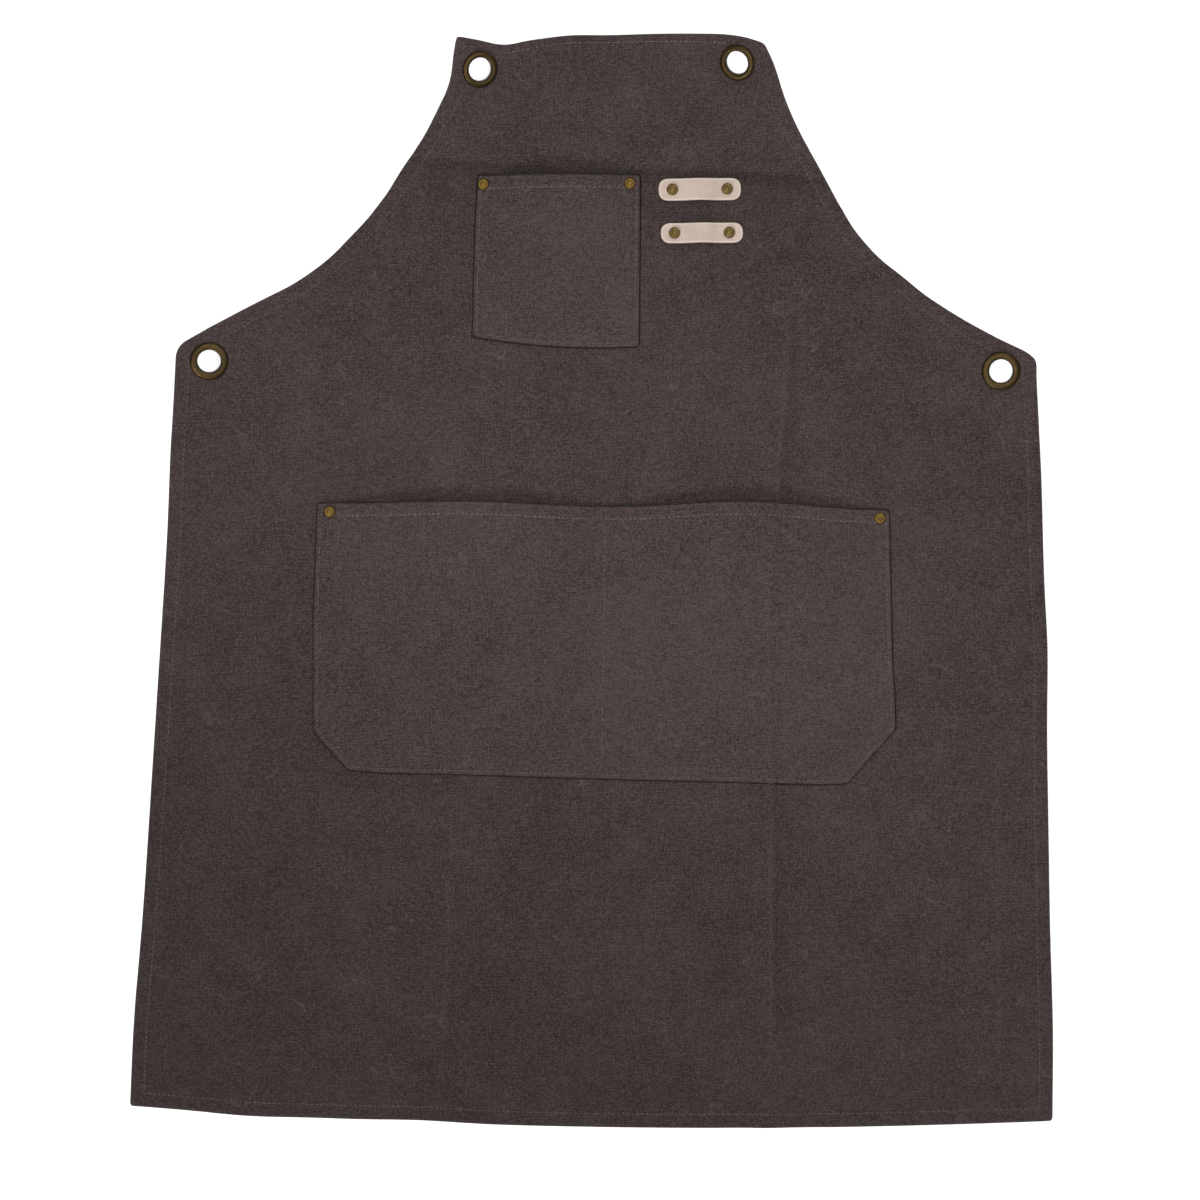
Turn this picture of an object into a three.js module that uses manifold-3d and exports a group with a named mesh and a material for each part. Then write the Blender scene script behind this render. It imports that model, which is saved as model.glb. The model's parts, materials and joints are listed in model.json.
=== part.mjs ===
// A canvas work apron laid out face up: a bib with cut-away armholes, a chest pocket, a waist pocket
// stitched into two halves, leather tool loops, and eyelets at the corners for its straps.
// Millimetres. +Z is up from the surface that it lies on, and +Y runs to the top of the bib.
import * as THREE from "three";
import { mergeVertices } from "three/addons/utils/BufferGeometryUtils.js";
import Module from "manifold-3d";

const wasm = await Module();
wasm.setup();

// Driving dimensions: the cloth, its turned edges and the gaps between touching pieces
const APRON_LENGTH = 800;
const HEM_SPAN = 674;
const HEM_BOW = 10;
const HEM_WIDTH = 10;
const CANVAS = 1.2;
const HEM_THICKNESS = 2.5 * CANVAS;
const POCKET_BAND = 9;
const POCKET_EDGE = 2 * CANVAS;
const STEP = 1.5;
const GAP = 0.3;
const SEWN_GAP = 0.4;

// Driving dimensions: eyelets, rivets and leather strips
const EYELET = { hole: 17, flange: 28, rise: 2.4, wall: 0.8, clearance: 0.3, sides: 20 };
const WASHER = { across: 26.4, thickness: 1.2, seatDepth: 0.6, clearance: 0.4 };
const RIVET = { cap: 8, capRise: 2, back: 7, backRise: 1.2, post: 3, sides: 10 };
const RIVET_HOLE = { across: 3.8, sides: 6 };
const STRIP = { length: 60, width: 16, thickness: 2.2, corner: 6, rivetSpan: 40, bow: 5.8, bowSpan: 31 };

const FINISH = {
  canvas: { color: 0x463c3b, roughness: 0.95, metalness: 0 },
  pocketCanvas: { color: 0x4d4341, roughness: 0.95, metalness: 0 },
  leather: { color: 0xcbb7a8, roughness: 0.7, metalness: 0 },
  eyeletBrass: { color: 0x5a4726, roughness: 0.35, metalness: 1 },
  rivetBrass: { color: 0x84682c, roughness: 0.4, metalness: 1 },
};

// Corners of the cut cloth, as it lies
const LOW = HEM_BOW - APRON_LENGTH / 2;
const CORNER = {
  hemLeft: [-HEM_SPAN / 2, LOW],
  hemRight: [HEM_SPAN / 2, LOW],
  waistLeft: [-310.5, 165],
  waistRight: [314, 167.5],
  bibLeft: [-118.5, 354],
  bibRight: [127, 353],
  topLeft: [-112.2, 390],
  topRight: [112.5, 391],
};
const TOP = (CORNER.topLeft[1] + CORNER.topRight[1]) / 2;

// Handles of the curved edges, from each edge's first corner to its last
const HANDLE = {
  armholeLeft: [[-197, 226], [-153.4, 269]],
  armholeRight: [[197, 224.5], [178.4, 243]],
  sideRight: [[332, -200], [326, 20]],
  top: [[-55, 387.5], [60, 412.4]],
};

// Each corner curls up: where its eyelet sits, the tilt, and the heading in which the slope rises
const CURLS = [
  { corner: "bib_left", at: [-93.6, 369.8], tilt: 22, rises: 142 },
  { corner: "bib_right", at: [93.2, 377.1], tilt: 28, rises: 42 },
  { corner: "waist_left", at: [-287.5, 154.8], tilt: 18, rises: 116 },
  { corner: "waist_right", at: [290, 157.5], tilt: 7, rises: 63 },
];
// A curl is flat round its eyelet, bends out below it, and fades to both sides
const CURL = { flat: 16, bend: 22, flatSide: 24, fadeSide: 70 };

// The bib rises from a fold across it, and a crease down the skirt stands up on either side of the pocket
const BIB_FOLD = { y: 305, rise: 3, bend: 12 };
const CREASE = { column: 0.7, flank: 0.0234, side: 15, height: 1.6, fade: 25 };
const CREASE_RUNS = [
  { name: "above the waist pocket", low: 75, high: 150 },
  { name: "below the waist pocket", low: LOW - HEM_WIDTH - CREASE.fade, high: -165 },
];

// Patch pockets. Side edges run from the lowest corner up, and the low edge and the mouth lean and bow
// between them. Each compartment gapes, and lifts the mouth's edge towards the bib.
const POCKETS = [
  {
    name: "chest_pocket",
    left: [[-98.1, 176.8], [-96.2, 293.7]],
    right: [[25.2, 176.8], [24.1, 293.7]],
    low: { lean: -5.4, bow: -3.5 },
    mouthLean: 2.8,
    compartments: [{ from: -85.5, to: 12, gape: 6.5, lift: 0 }],
    rows: 8,
    columns: 10,
  },
  {
    name: "waist_pocket",
    left: [[-182.6, -143.4], [-210.4, -111], [-207.2, 52.7]],
    right: [[183.3, -143.4], [216.2, -107], [210.1, 52.7]],
    low: { lean: -3.6, bow: -0.8 },
    mouthLean: 1.7,
    compartments: [
      { from: -193, to: -3, gape: 7, lift: 2.7 },
      { from: 9, to: 198, gape: 7.5, lift: 5 },
    ],
    rows: 7,
    columns: 16,
  },
];
const GAPE_FALL = 1.5;
const POCKET_RIVETS = [
  { name: "chest_left", at: [-90.2, 287.5] },
  { name: "chest_right", at: [16.8, 290] },
  { name: "waist_left", at: [-198.4, 46.6] },
  { name: "waist_right", at: [203.4, 48.6] },
];

// Leather strips: the middle of each, and how far it is turned
const STRIPS = [
  { name: "upper", at: [68, 286.7], turn: 1.5, width: STRIP.width },
  { name: "lower", at: [70.1, 254.9], turn: 1.4, width: STRIP.width - 1.4 },
];

const { clamp, lerp, smoothstep, degToRad } = THREE.MathUtils;
const vector = ([x, y]) => new THREE.Vector2(x, y);

// The values from first to last in equal steps, without the last one
function spread(first, last, steps) {
  return Array.from({ length: steps }, (_, k) => lerp(first, last, k / steps));
}

function line(a, b) {
  return new THREE.LineCurve(vector(a), vector(b));
}

function curve(a, [handleA, handleB], b) {
  return new THREE.CubicBezierCurve(vector(a), vector(handleA), vector(handleB), vector(b));
}

// A look-up along points that rise in one coordinate: the other coordinate at a given value
function lookUp(points, along, across) {
  return (value) => {
    const next = points.findIndex((point) => point[along] >= value);
    if (next <= 0) return points.at(next)[across];
    const [a, b] = [points[next - 1], points[next]];
    return lerp(a[across], b[across], (value - a[along]) / (b[along] - a[along]));
  };
}

// A side edge of joined lines and curves, as x by height
function sideEdge(...curves) {
  const path = new THREE.CurvePath();
  curves.forEach((part) => path.add(part));
  return lookUp(path.getPoints(60), "y", "x");
}

const apronLeft = sideEdge(
  line(CORNER.hemLeft, CORNER.waistLeft),
  curve(CORNER.waistLeft, HANDLE.armholeLeft, CORNER.bibLeft),
  line(CORNER.bibLeft, CORNER.topLeft),
);
const apronRight = sideEdge(
  curve(CORNER.hemRight, HANDLE.sideRight, CORNER.waistRight),
  curve(CORNER.waistRight, HANDLE.armholeRight, CORNER.bibRight),
  line(CORNER.bibRight, CORNER.topRight),
);
const apronTop = lookUp(curve(CORNER.topLeft, HANDLE.top, CORNER.topRight).getPoints(40), "x", "y");

// Height of the cloth's face above the surface that it lies on
function curlHeight({ at, tilt, rises }, x, y) {
  const heading = degToRad(rises);
  const [dx, dy] = [x - at[0], y - at[1]];
  const along = dx * Math.cos(heading) + dy * Math.sin(heading);
  const aside = Math.abs(dy * Math.cos(heading) - dx * Math.sin(heading));
  const bent = clamp(along + CURL.flat + CURL.bend, 0, CURL.bend) ** 2 / (2 * CURL.bend);
  const straight = Math.max(along + CURL.flat, 0);
  const fade = 1 - smoothstep(aside, CURL.flatSide, CURL.fadeSide);
  return Math.tan(degToRad(tilt)) * (bent + straight) * fade;
}

function bibHeight(y) {
  const above = Math.max(y - BIB_FOLD.y, 0);
  const bent = Math.min(above, BIB_FOLD.bend) ** 2 / (2 * BIB_FOLD.bend);
  const straight = Math.max(above - BIB_FOLD.bend, 0);
  return Math.tan(degToRad(BIB_FOLD.rise)) * (bent + straight);
}

function creaseHeight({ low, high }, x, y) {
  const inset = HEM_WIDTH + STEP;
  const peak = lerp(apronLeft(y) + inset, apronRight(y) - inset, CREASE.column);
  const ends = smoothstep(y, low, low + CREASE.fade) * (1 - smoothstep(y, high - CREASE.fade, high));
  return CREASE.height * ends * Math.max(0, 1 - Math.abs(x - peak) / CREASE.side);
}

function clothHeight(x, y) {
  const curls = CURLS.reduce((sum, curl) => sum + curlHeight(curl, x, y), 0);
  const creases = CREASE_RUNS.reduce((sum, run) => sum + creaseHeight(run, x, y), 0);
  return HEM_THICKNESS + bibHeight(y) + curls + creases;
}

function normalAt(height, x, y) {
  const reach = 0.5;
  const slopeX = (height(x + reach, y) - height(x - reach, y)) / (2 * reach);
  const slopeY = (height(x, y + reach) - height(x, y - reach)) / (2 * reach);
  return new THREE.Vector3(-slopeX, -slopeY, 1).normalize();
}

// The grid of a cut panel, whose rows run across between two side edges. The outer band on every
// side is the turned edge, where the cloth is doubled.
function panelGrid({ left, right, rows, fractions, band, shift }) {
  const bandAcross = (edge, y) => band * Math.min(Math.hypot((edge(y + 1) - edge(y - 1)) / 2, 1), 2);
  return rows.map((y, j) => {
    const [a, b] = [left(y), right(y)];
    const [innerA, innerB] = [a + bandAcross(left, y), b - bandAcross(right, y)];
    const inside = fractions.map((f) => lerp(innerA + STEP, innerB - STEP, f));
    const stations = [a, innerA, ...inside, innerB, b];
    return stations.map((x, i) => {
      const fromEdge = Math.min(i, j, stations.length - 1 - i, rows.length - 1 - j);
      return { x, y: y + shift((x - a) / (b - a), y), doubled: fromEdge < 2 };
    });
  });
}

// The closed solid of a panel: its face at height(x, y), and its back one or more layers below
function panelGeometry(grid, height, edgeThickness) {
  const [rowCount, columnCount] = [grid.length - 1, grid[0].length - 1];
  const geometry = new THREE.BoxGeometry(1, 1, 1, columnCount, rowCount, 1);
  const position = geometry.getAttribute("position");
  for (let k = 0; k < position.count; k++) {
    const i = Math.round((position.getX(k) + 0.5) * columnCount);
    const j = Math.round((position.getY(k) + 0.5) * rowCount);
    const { x, y, doubled } = grid[j][i];
    const point = new THREE.Vector3(x, y, height(x, y));
    if (position.getZ(k) < 0) {
      point.addScaledVector(normalAt(height, x, y), doubled ? -edgeThickness : -CANVAS);
    }
    position.setXYZ(k, point.x, point.y, point.z);
  }
  return geometry;
}

function solid(geometry) {
  const bare = geometry.clone();
  bare.deleteAttribute("normal");
  bare.deleteAttribute("uv");
  const merged = mergeVertices(bare, 1e-3);
  const vertProperties = merged.getAttribute("position").array;
  const triVerts = new Uint32Array(merged.index.array);
  return new wasm.Manifold(new wasm.Mesh({ numProp: 3, vertProperties, triVerts }));
}

// A geometry with the shapes of all the tools cut out of it
function cut(geometry, tools) {
  const result = tools.reduce((body, tool) => body.subtract(solid(tool)), solid(geometry));
  const mesh = result.getMesh();
  const made = new THREE.BufferGeometry();
  made.setAttribute("position", new THREE.BufferAttribute(mesh.vertProperties, 3));
  made.setIndex(new THREE.BufferAttribute(mesh.triVerts, 1));
  made.computeVertexNormals();
  return made;
}

// A round shape about +Z from its half section, given as [radius, height]
function turned(section, sides) {
  return new THREE.LatheGeometry(section.map(vector), sides).rotateX(Math.PI / 2);
}

// An upright cylinder between two heights
function upright(radius, low, high, sides) {
  const cylinder = new THREE.CylinderGeometry(radius, radius, high - low, sides);
  return cylinder.rotateX(Math.PI / 2).translate(0, 0, (low + high) / 2);
}

function piece(name, geometry, finish) {
  const mesh = new THREE.Mesh(geometry, new THREE.MeshStandardMaterial(FINISH[finish]));
  mesh.name = name;
  return mesh;
}

// The apron's cloth: rows are close where it curls and folds, and wide over the flat skirt
function apronGrid() {
  const [lowLine, highLine] = [LOW + HEM_WIDTH + STEP, TOP - HEM_WIDTH - STEP];
  const [waistLow, waistHigh] = [75, 190];
  const bent = BIB_FOLD.y + BIB_FOLD.bend;
  const rows = [
    LOW,
    LOW + HEM_WIDTH,
    ...spread(lowLine, waistLow, 8),
    ...spread(waistLow, waistHigh, 9),
    ...spread(waistHigh, BIB_FOLD.y, 5),
    BIB_FOLD.y,
    ...spread(bent, highLine, 5),
    highLine,
    TOP - HEM_WIDTH,
    TOP,
  ];
  const fractions = [
    ...spread(0, CREASE.column - CREASE.flank, 14),
    CREASE.column - CREASE.flank,
    CREASE.column,
    ...spread(CREASE.column + CREASE.flank, 1, 6),
    1,
  ];
  const fade = 60;
  const shift = (across, y) => {
    const x = lerp(CORNER.topLeft[0], CORNER.topRight[0], across);
    const high = clamp((y - TOP + fade) / fade, 0, 1) * (apronTop(x) - TOP);
    const low = clamp((LOW + fade - y) / fade, 0, 1) * HEM_BOW * (1 - (2 * across - 1) ** 2);
    return high - low;
  };
  return panelGrid({ left: apronLeft, right: apronRight, rows, fractions, band: HEM_WIDTH, shift });
}

// An eyelet clamps the cloth between its rolled flange and a washer, whose back has a seat for its curled end
function eyeletGroup({ corner, at: [x, y] }) {
  const group = new THREE.Group();
  group.position.set(x, y, clothHeight(x, y));
  group.quaternion.setFromUnitVectors(new THREE.Vector3(0, 0, 1), normalAt(clothHeight, x, y));
  group.updateMatrix();
  const washerFace = -CANVAS - GAP;
  const washerBack = washerFace - WASHER.thickness;
  const seat = washerBack + WASHER.seatDepth;
  const curledEdge = seat - GAP;
  const inner = EYELET.hole / 2;
  const barrel = inner + EYELET.wall;
  const curl = barrel + 1.6;
  const rim = EYELET.flange / 2;
  const eyelet = [
    [barrel, GAP],
    [rim - 0.5, GAP],
    [rim, GAP + 0.5],
    [rim - 0.9, EYELET.rise - 0.6],
    [rim - 2.6, EYELET.rise],
    [inner + 1.3, EYELET.rise - 0.3],
    [inner, EYELET.rise - 1.4],
    [inner, curledEdge],
    [inner + 0.8, curledEdge - 0.8],
    [curl, curledEdge - 0.5],
    [curl, curledEdge],
    [barrel, curledEdge],
    [barrel, GAP],
  ];
  const [washerIn, seatOut] = [barrel + WASHER.clearance, curl + WASHER.clearance];
  const washerOut = WASHER.across / 2;
  const washer = [
    [washerIn, seat],
    [seatOut, seat],
    [seatOut, washerBack],
    [washerOut, washerBack],
    [washerOut, washerFace],
    [washerIn, washerFace],
    [washerIn, seat],
  ];
  group.add(piece(`eyelet_${corner}`, turned(eyelet, EYELET.sides), "eyeletBrass"));
  group.add(piece(`washer_${corner}`, turned(washer, EYELET.sides), "eyeletBrass"));
  return group;
}

// The hole for an eyelet's barrel, and the seat that its washer presses into the turned hem
function eyeletCuts(group) {
  const barrel = EYELET.hole / 2 + EYELET.wall + EYELET.clearance;
  const seat = WASHER.across / 2 + WASHER.clearance;
  const reach = 6;
  return [
    upright(barrel, -reach, reach, EYELET.sides).applyMatrix4(group.matrix),
    upright(seat, -CANVAS - reach, -CANVAS, EYELET.sides).applyMatrix4(group.matrix),
  ];
}

// How far a compartment stands off the cloth across its mouth, from 0 at its seams to 1 midway
function swell({ from, to }, x) {
  return Math.sin(Math.PI * clamp((x - from) / (to - from), 0, 1));
}

function pocketHeight({ left, compartments }, x, y) {
  const [low, high] = [left[0][1], left.at(-1)[1]];
  const up = clamp((y - low) / (high - low), 0, 1);
  const gape = compartments.reduce((sum, part) => sum + part.gape * swell(part, x), 0);
  return clothHeight(x, y) + SEWN_GAP + POCKET_EDGE + gape * up ** GAPE_FALL;
}

function pocketGrid(pocket) {
  const edge = (points) => sideEdge(...points.slice(1).map((point, k) => line(points[k], point)));
  const [left, right] = [edge(pocket.left), edge(pocket.right)];
  const [low, high] = [pocket.left[0][1], pocket.left.at(-1)[1]];
  const [lowLine, highLine] = [low + POCKET_BAND + STEP, high - POCKET_BAND - STEP];
  const cutCorner = pocket.left.length > 2 ? pocket.left[1][1] : lowLine;
  const rows = [
    low,
    low + POCKET_BAND,
    ...spread(lowLine, cutCorner, cutCorner > lowLine ? 1 : 0),
    ...spread(cutCorner, highLine, pocket.rows),
    highLine,
    high - POCKET_BAND,
    high,
  ];
  const shift = (across, y) => {
    const x = lerp(left(y), right(y), across);
    const lift = pocket.compartments.reduce((sum, part) => sum + part.lift * swell(part, x) ** 2, 0);
    const lowShift = pocket.low.lean * across + pocket.low.bow * (1 - (2 * across - 1) ** 2);
    return lerp(lowShift, pocket.mouthLean * across + lift, (y - low) / (high - low));
  };
  const fractions = [...spread(0, 1, pocket.columns), 1];
  return panelGrid({ left, right, rows, fractions, band: POCKET_BAND, shift });
}

// A leather strip with rounded corners, flat at its rivets and bowed between them
function stripGeometry(width) {
  const { length, thickness, corner, bow, bowSpan } = STRIP;
  const straight = length / 2 - corner;
  const roundedEnd = [0.4, 0.7, 0.9, 1].map((k) => straight + corner * k);
  const middle = spread(-straight, straight, 16);
  const stations = [...roundedEnd.map((x) => -x).reverse(), ...middle, straight, ...roundedEnd];
  const steps = stations.length - 1;
  const geometry = new THREE.BoxGeometry(1, 1, 1, steps, 2, 1);
  const position = geometry.getAttribute("position");
  for (let k = 0; k < position.count; k++) {
    const x = stations[Math.round((position.getX(k) + 0.5) * steps)];
    const past = clamp(Math.abs(x) - straight, 0, corner);
    const halfWidth = width / 2 - corner + Math.sqrt(corner ** 2 - past ** 2);
    const lift = Math.abs(x) < bowSpan / 2 ? (1 + Math.cos((2 * Math.PI * x) / bowSpan)) / 2 : 0;
    const low = SEWN_GAP + bow * lift;
    const z = position.getZ(k) > 0 ? low + thickness : low;
    position.setXYZ(k, x, 2 * position.getY(k) * halfWidth, z);
  }
  return geometry;
}

// A rivet from its back behind the cloth to its cap, through a piece of the given thickness
function rivet(name, thickness) {
  const seat = SEWN_GAP + thickness + GAP;
  const back = -CANVAS - GAP;
  const foot = back - RIVET.backRise;
  const section = [
    [0, foot],
    [RIVET.back / 2 - 0.5, foot],
    [RIVET.back / 2, foot + 0.6],
    [RIVET.back / 2, back],
    [RIVET.post / 2, back],
    [RIVET.post / 2, seat],
    [RIVET.cap / 2, seat],
    [RIVET.cap / 2, seat + 0.6],
    [RIVET.cap / 3, seat + 0.8 * RIVET.capRise],
    [0, seat + RIVET.capRise],
  ];
  return piece(`rivet_${name}`, turned(section, RIVET.sides), "rivetBrass");
}

// The tool that makes a rivet's hole through every layer at a place
function rivetCut([x, y]) {
  return upright(RIVET_HOLE.across / 2, -20, 20, RIVET_HOLE.sides).translate(x, y, 0);
}

function pocketRivet({ name, at: [x, y] }) {
  const mesh = rivet(name, POCKET_EDGE);
  mesh.position.set(x, y, clothHeight(x, y));
  return mesh;
}

function toolLoop({ name, at: [x, y], turn, width }) {
  const group = new THREE.Group();
  group.position.set(x, y, clothHeight(x, y));
  group.rotation.z = degToRad(turn);
  const ends = { left: -STRIP.rivetSpan / 2, right: STRIP.rivetSpan / 2 };
  const holes = Object.values(ends).map((reach) => rivetCut([reach, 0]));
  group.add(piece(`leather_tab_${name}`, cut(stripGeometry(width), holes), "leather"));
  for (const [side, reach] of Object.entries(ends)) {
    const post = rivet(`${name}_${side}`, STRIP.thickness);
    post.position.x = reach;
    group.add(post);
  }
  return group;
}

function loopRivetPlaces({ at, turn }) {
  const reach = vector([STRIP.rivetSpan / 2, 0]).rotateAround(vector([0, 0]), degToRad(turn));
  return [-1, 1].map((side) => [at[0] + side * reach.x, at[1] + side * reach.y]);
}

const apron = new THREE.Group();
const eyelets = CURLS.map(eyeletGroup);
const pocketHoles = POCKET_RIVETS.map(({ at }) => rivetCut(at));
const loopHoles = STRIPS.flatMap(loopRivetPlaces).map(rivetCut);

const cloth = panelGeometry(apronGrid(), clothHeight, HEM_THICKNESS);
const clothCuts = [...eyelets.flatMap(eyeletCuts), ...pocketHoles, ...loopHoles];
apron.add(piece("apron_body", cut(cloth, clothCuts), "canvas"));
for (const pocket of POCKETS) {
  const height = (x, y) => pocketHeight(pocket, x, y);
  const panel = panelGeometry(pocketGrid(pocket), height, POCKET_EDGE);
  apron.add(piece(pocket.name, cut(panel, pocketHoles), "pocketCanvas"));
}
apron.add(...POCKET_RIVETS.map(pocketRivet), ...STRIPS.map(toolLoop), ...eyelets);

export default apron;
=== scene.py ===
import json
import math
from collections import namedtuple

import bmesh
import bpy
import numpy as np
from bpy.props import FloatProperty, FloatVectorProperty, PointerProperty
from mathutils import Matrix, Vector
from mathutils.bvhtree import BVHTree
from mathutils.geometry import delaunay_2d_cdt
from mathutils.kdtree import KDTree


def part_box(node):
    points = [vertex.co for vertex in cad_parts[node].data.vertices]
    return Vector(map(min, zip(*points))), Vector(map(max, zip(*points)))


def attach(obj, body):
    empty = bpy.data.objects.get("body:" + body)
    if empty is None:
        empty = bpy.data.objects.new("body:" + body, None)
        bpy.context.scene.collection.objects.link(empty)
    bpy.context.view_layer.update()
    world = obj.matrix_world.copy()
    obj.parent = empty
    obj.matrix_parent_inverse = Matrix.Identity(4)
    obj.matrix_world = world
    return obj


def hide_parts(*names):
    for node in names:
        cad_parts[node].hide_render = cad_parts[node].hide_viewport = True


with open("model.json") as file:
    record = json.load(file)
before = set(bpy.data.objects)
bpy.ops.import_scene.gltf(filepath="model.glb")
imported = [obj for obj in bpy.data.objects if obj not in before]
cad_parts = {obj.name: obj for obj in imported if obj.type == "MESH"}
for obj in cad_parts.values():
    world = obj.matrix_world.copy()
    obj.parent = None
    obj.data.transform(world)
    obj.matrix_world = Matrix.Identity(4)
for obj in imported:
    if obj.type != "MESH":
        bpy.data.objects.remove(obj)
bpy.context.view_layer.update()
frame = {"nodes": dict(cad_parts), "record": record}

bl_info = {
    "name": "Canvas apron",
    "version": (1, 0, 0),
    "blender": (4, 5, 0),
    "location": "View3D > Sidebar > Apron",
    "description": "Dresses a laid-out work apron in washed canvas, thread, leather and brass",
    "category": "Object",
}

# Lengths are metres; MM turns a millimetre value into them
MM = 0.001
CORNERS = ("bib_left", "bib_right", "waist_left", "waist_right")
POCKETS = ("chest_pocket", "waist_pocket")
LOOPS = ("upper", "lower")
POCKET_RIVETS = ("chest_left", "chest_right", "waist_left", "waist_right")
LOOP_RIVETS = ("upper_left", "upper_right", "lower_left", "lower_right")

# Creases pressed into the laid cloth, in millimetres: the path, the height of the crest (a valley is
# negative), the half width of the crest, how rubbed it is from 0 to 1, how dark the shade painted on its
# lee side to the right of the path is from 0 to 1, and how far that painted shade reaches
Crease = namedtuple("Crease", "path height width rub dark lee", defaults=(0.0, 1.0))
CREASES = [
    Crease([(-185, 314), (-140, 310.5), (-120, 307.8), (-80, 305.5), (74, 302.2), (140, 300.4), (190, 299)],
           -1.6, 5.0, 0.0, 0.22, 45),
    Crease([(-150, 297), (0, 293), (158, 292)], 0.7, 7.0, 0.0),
    Crease([(131.7, -388), (127.5, -150), (124, -13), (128.5, 70), (132.5, 142), (135, 190), (138, 240)],
           1.4, 3.0, 0.3, 0.2, 11),
    Crease([(-105, -158), (-108, -280), (-110, -388)], 0.3, 3.0, 0.3),
    Crease([(294, -150), (296, -260), (300, -380)], 0.55, 5.0, 0.2),
    Crease([(-322, 5), (-270, 3.5), (-218, 1.5)], -0.7, 5.0, 0.1),
    Crease([(330, -39), (300, -38.5), (260, -37)], -0.6, 4.5, 0.1),
    Crease([(-300, 118), (-262, 150), (-246, 176)], 0.7, 9.0, 0.1),
    Crease([(303, 112), (268, 138), (244, 171)], 0.6, 9.0, 0.1),
    Crease([(-105, 345), (-74, 349), (-58, 378)], -0.5, 6.0, 0.0),
    Crease([(108, 345), (74, 352), (60, 384)], -0.5, 6.0, 0.0),
]

# Where the washed edge has pulled away from the smooth cut, in millimetres: the place, how far it has moved
# to the right and up the apron, and how far along the edge it does so
EdgeDrift = namedtuple("EdgeDrift", "x y right up reach")
EDGE_DRIFTS = [
    EdgeDrift(-114, 394, 2.2, 1.5, 11),
    EdgeDrift(-76, 390, 0.0, -3.2, 10),
    EdgeDrift(-30, 397, 0.0, 2.2, 17),
    EdgeDrift(80, 400, 0.0, -1.5, 20),
    EdgeDrift(113, 394, -1.3, -1.3, 9),
    EdgeDrift(-117, 362, 2.7, 0.0, 13),
    EdgeDrift(-149, 301, -2.1, 1.3, 19),
    EdgeDrift(-211, 225, 1.6, -2.1, 24),
    EdgeDrift(158, 297, 3.2, 1.8, 34),
    EdgeDrift(217, 224, 1.3, 1.6, 22),
    EdgeDrift(309, 171, 1.3, 1.8, 9),
    EdgeDrift(-317, 99, -1.7, 0.0, 36),
    EdgeDrift(-337, -328, -1.6, 0.0, 40),
    EdgeDrift(319, 90, 1.4, 0.0, 60),
    EdgeDrift(328, -46, 1.8, 0.0, 30),
    EdgeDrift(335, -325, 1.4, 0.0, 40),
    EdgeDrift(-251, -397, 0.0, -1.6, 26),
    EdgeDrift(-126, -398, 0.0, 1.4, 26),
]

# The same for the pockets
POCKET_DRIFTS = {
    "chest_pocket": [
        EdgeDrift(-98, 290, 1.9, 0.0, 22),
        EdgeDrift(-98, 235, 1.4, 0.0, 26),
        EdgeDrift(-98, 182, 1.9, 0.0, 22),
    ],
    "waist_pocket": [
        EdgeDrift(212.4, -115.6, 3.9, 7.4, 11),
        EdgeDrift(214.5, -92, 1.5, 0.5, 16),
        EdgeDrift(199, -131, 1.3, 3.2, 9),
        EdgeDrift(184, -147.8, -0.5, 1.3, 12),
        EdgeDrift(100, -148, 0.0, 1.1, 45),
        EdgeDrift(0, -148, 0.0, 1.1, 45),
        EdgeDrift(-100, -146, 0.0, 1.3, 45),
        EdgeDrift(-184, -145.2, 1.0, 1.2, 14),
        EdgeDrift(-212, -111, 1.8, -1.7, 12),
        EdgeDrift(-211.5, -84, 1.8, 0.0, 22),
    ],
}

# Slow swells of the cloth between its creases: how far apart in millimetres, how high, and the seed
Swell = namedtuple("Swell", "size height seed")
CLOTH_SWELLS = [Swell(150, 1.3, 3), Swell(62, 0.55, 11), Swell(24, 0.16, 29), Swell(9, 0.06, 41)]
POCKET_SWELLS = [Swell(48, 0.3, 57), Swell(20, 0.13, 63), Swell(8, 0.05, 71)]
LEATHER_SWELLS = [Swell(14, 0.10, 83), Swell(5, 0.05, 89)]
HEM_PUCKERS = [Swell(7, 0.10, 5)]

# A band along a seam, an edge or a rivet: how much it adds at its crest, how wide it is in millimetres, and
# how many millimetres from the seam its crest is
Band = namedtuple("Band", "amount width crest", defaults=(0.0,))

# Relief that sewing and riveting press into a face or a thickness, in millimetres
HEM_DIP = Band(-0.3, 1.3)
HEM_THINNING = Band(-0.6, 1.3)
POCKET_SEAM_DIP = Band(-0.28, 1.1)
POCKET_MOUTH_DIP = Band(-0.25, 1.2)
POCKET_RIVET_DIP = Band(-0.35, 6)
POCKET_ROLL = Band(0.18, 2.4, 5.6)
LEATHER_RIVET_DIP = Band(-0.3, 5.5)

# How high the turned-in hem stands
HEM_PUFF = 0.22 * MM

# How rubbed the cloth and the leather are along their creases, edges and seams, and, below zero, how dark
# the shade painted at a pocket's very edge is
CREASE_RUB = Band(1.0, 1.8)
HEM_EDGE_RUB = Band(0.35, 0.9)
HEM_SEAM_RUB = Band(0.16, 0.9, 8.8)
POCKET_EDGE_RUB = Band(0.4, 0.6, 1.2)
POCKET_SEAM_RUB = Band(0.2, 0.8, 8.0)
POCKET_EDGE_SHADE = Band(-0.25, 0.3)
LEATHER_EDGE_RUB = Band(0.8, 0.5, 0.6)

# How dark the shade painted on the cloth beside a pocket is, and the shade painted on the foot of an edge
# at a pocket's mouth, at its other sides and round the leather
SHADE_PAINTED_BESIDE_POCKET = 0.4
MOUTH_FOOT_SHADE = 1.2
POCKET_FOOT_SHADE = 0.7
LEATHER_FOOT_SHADE = 1.0

# Share of a crease's rubbing and of the shade painted on its lee side that shows on a pocket over it
POCKET_CREASE_SHARE = 0.35

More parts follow.
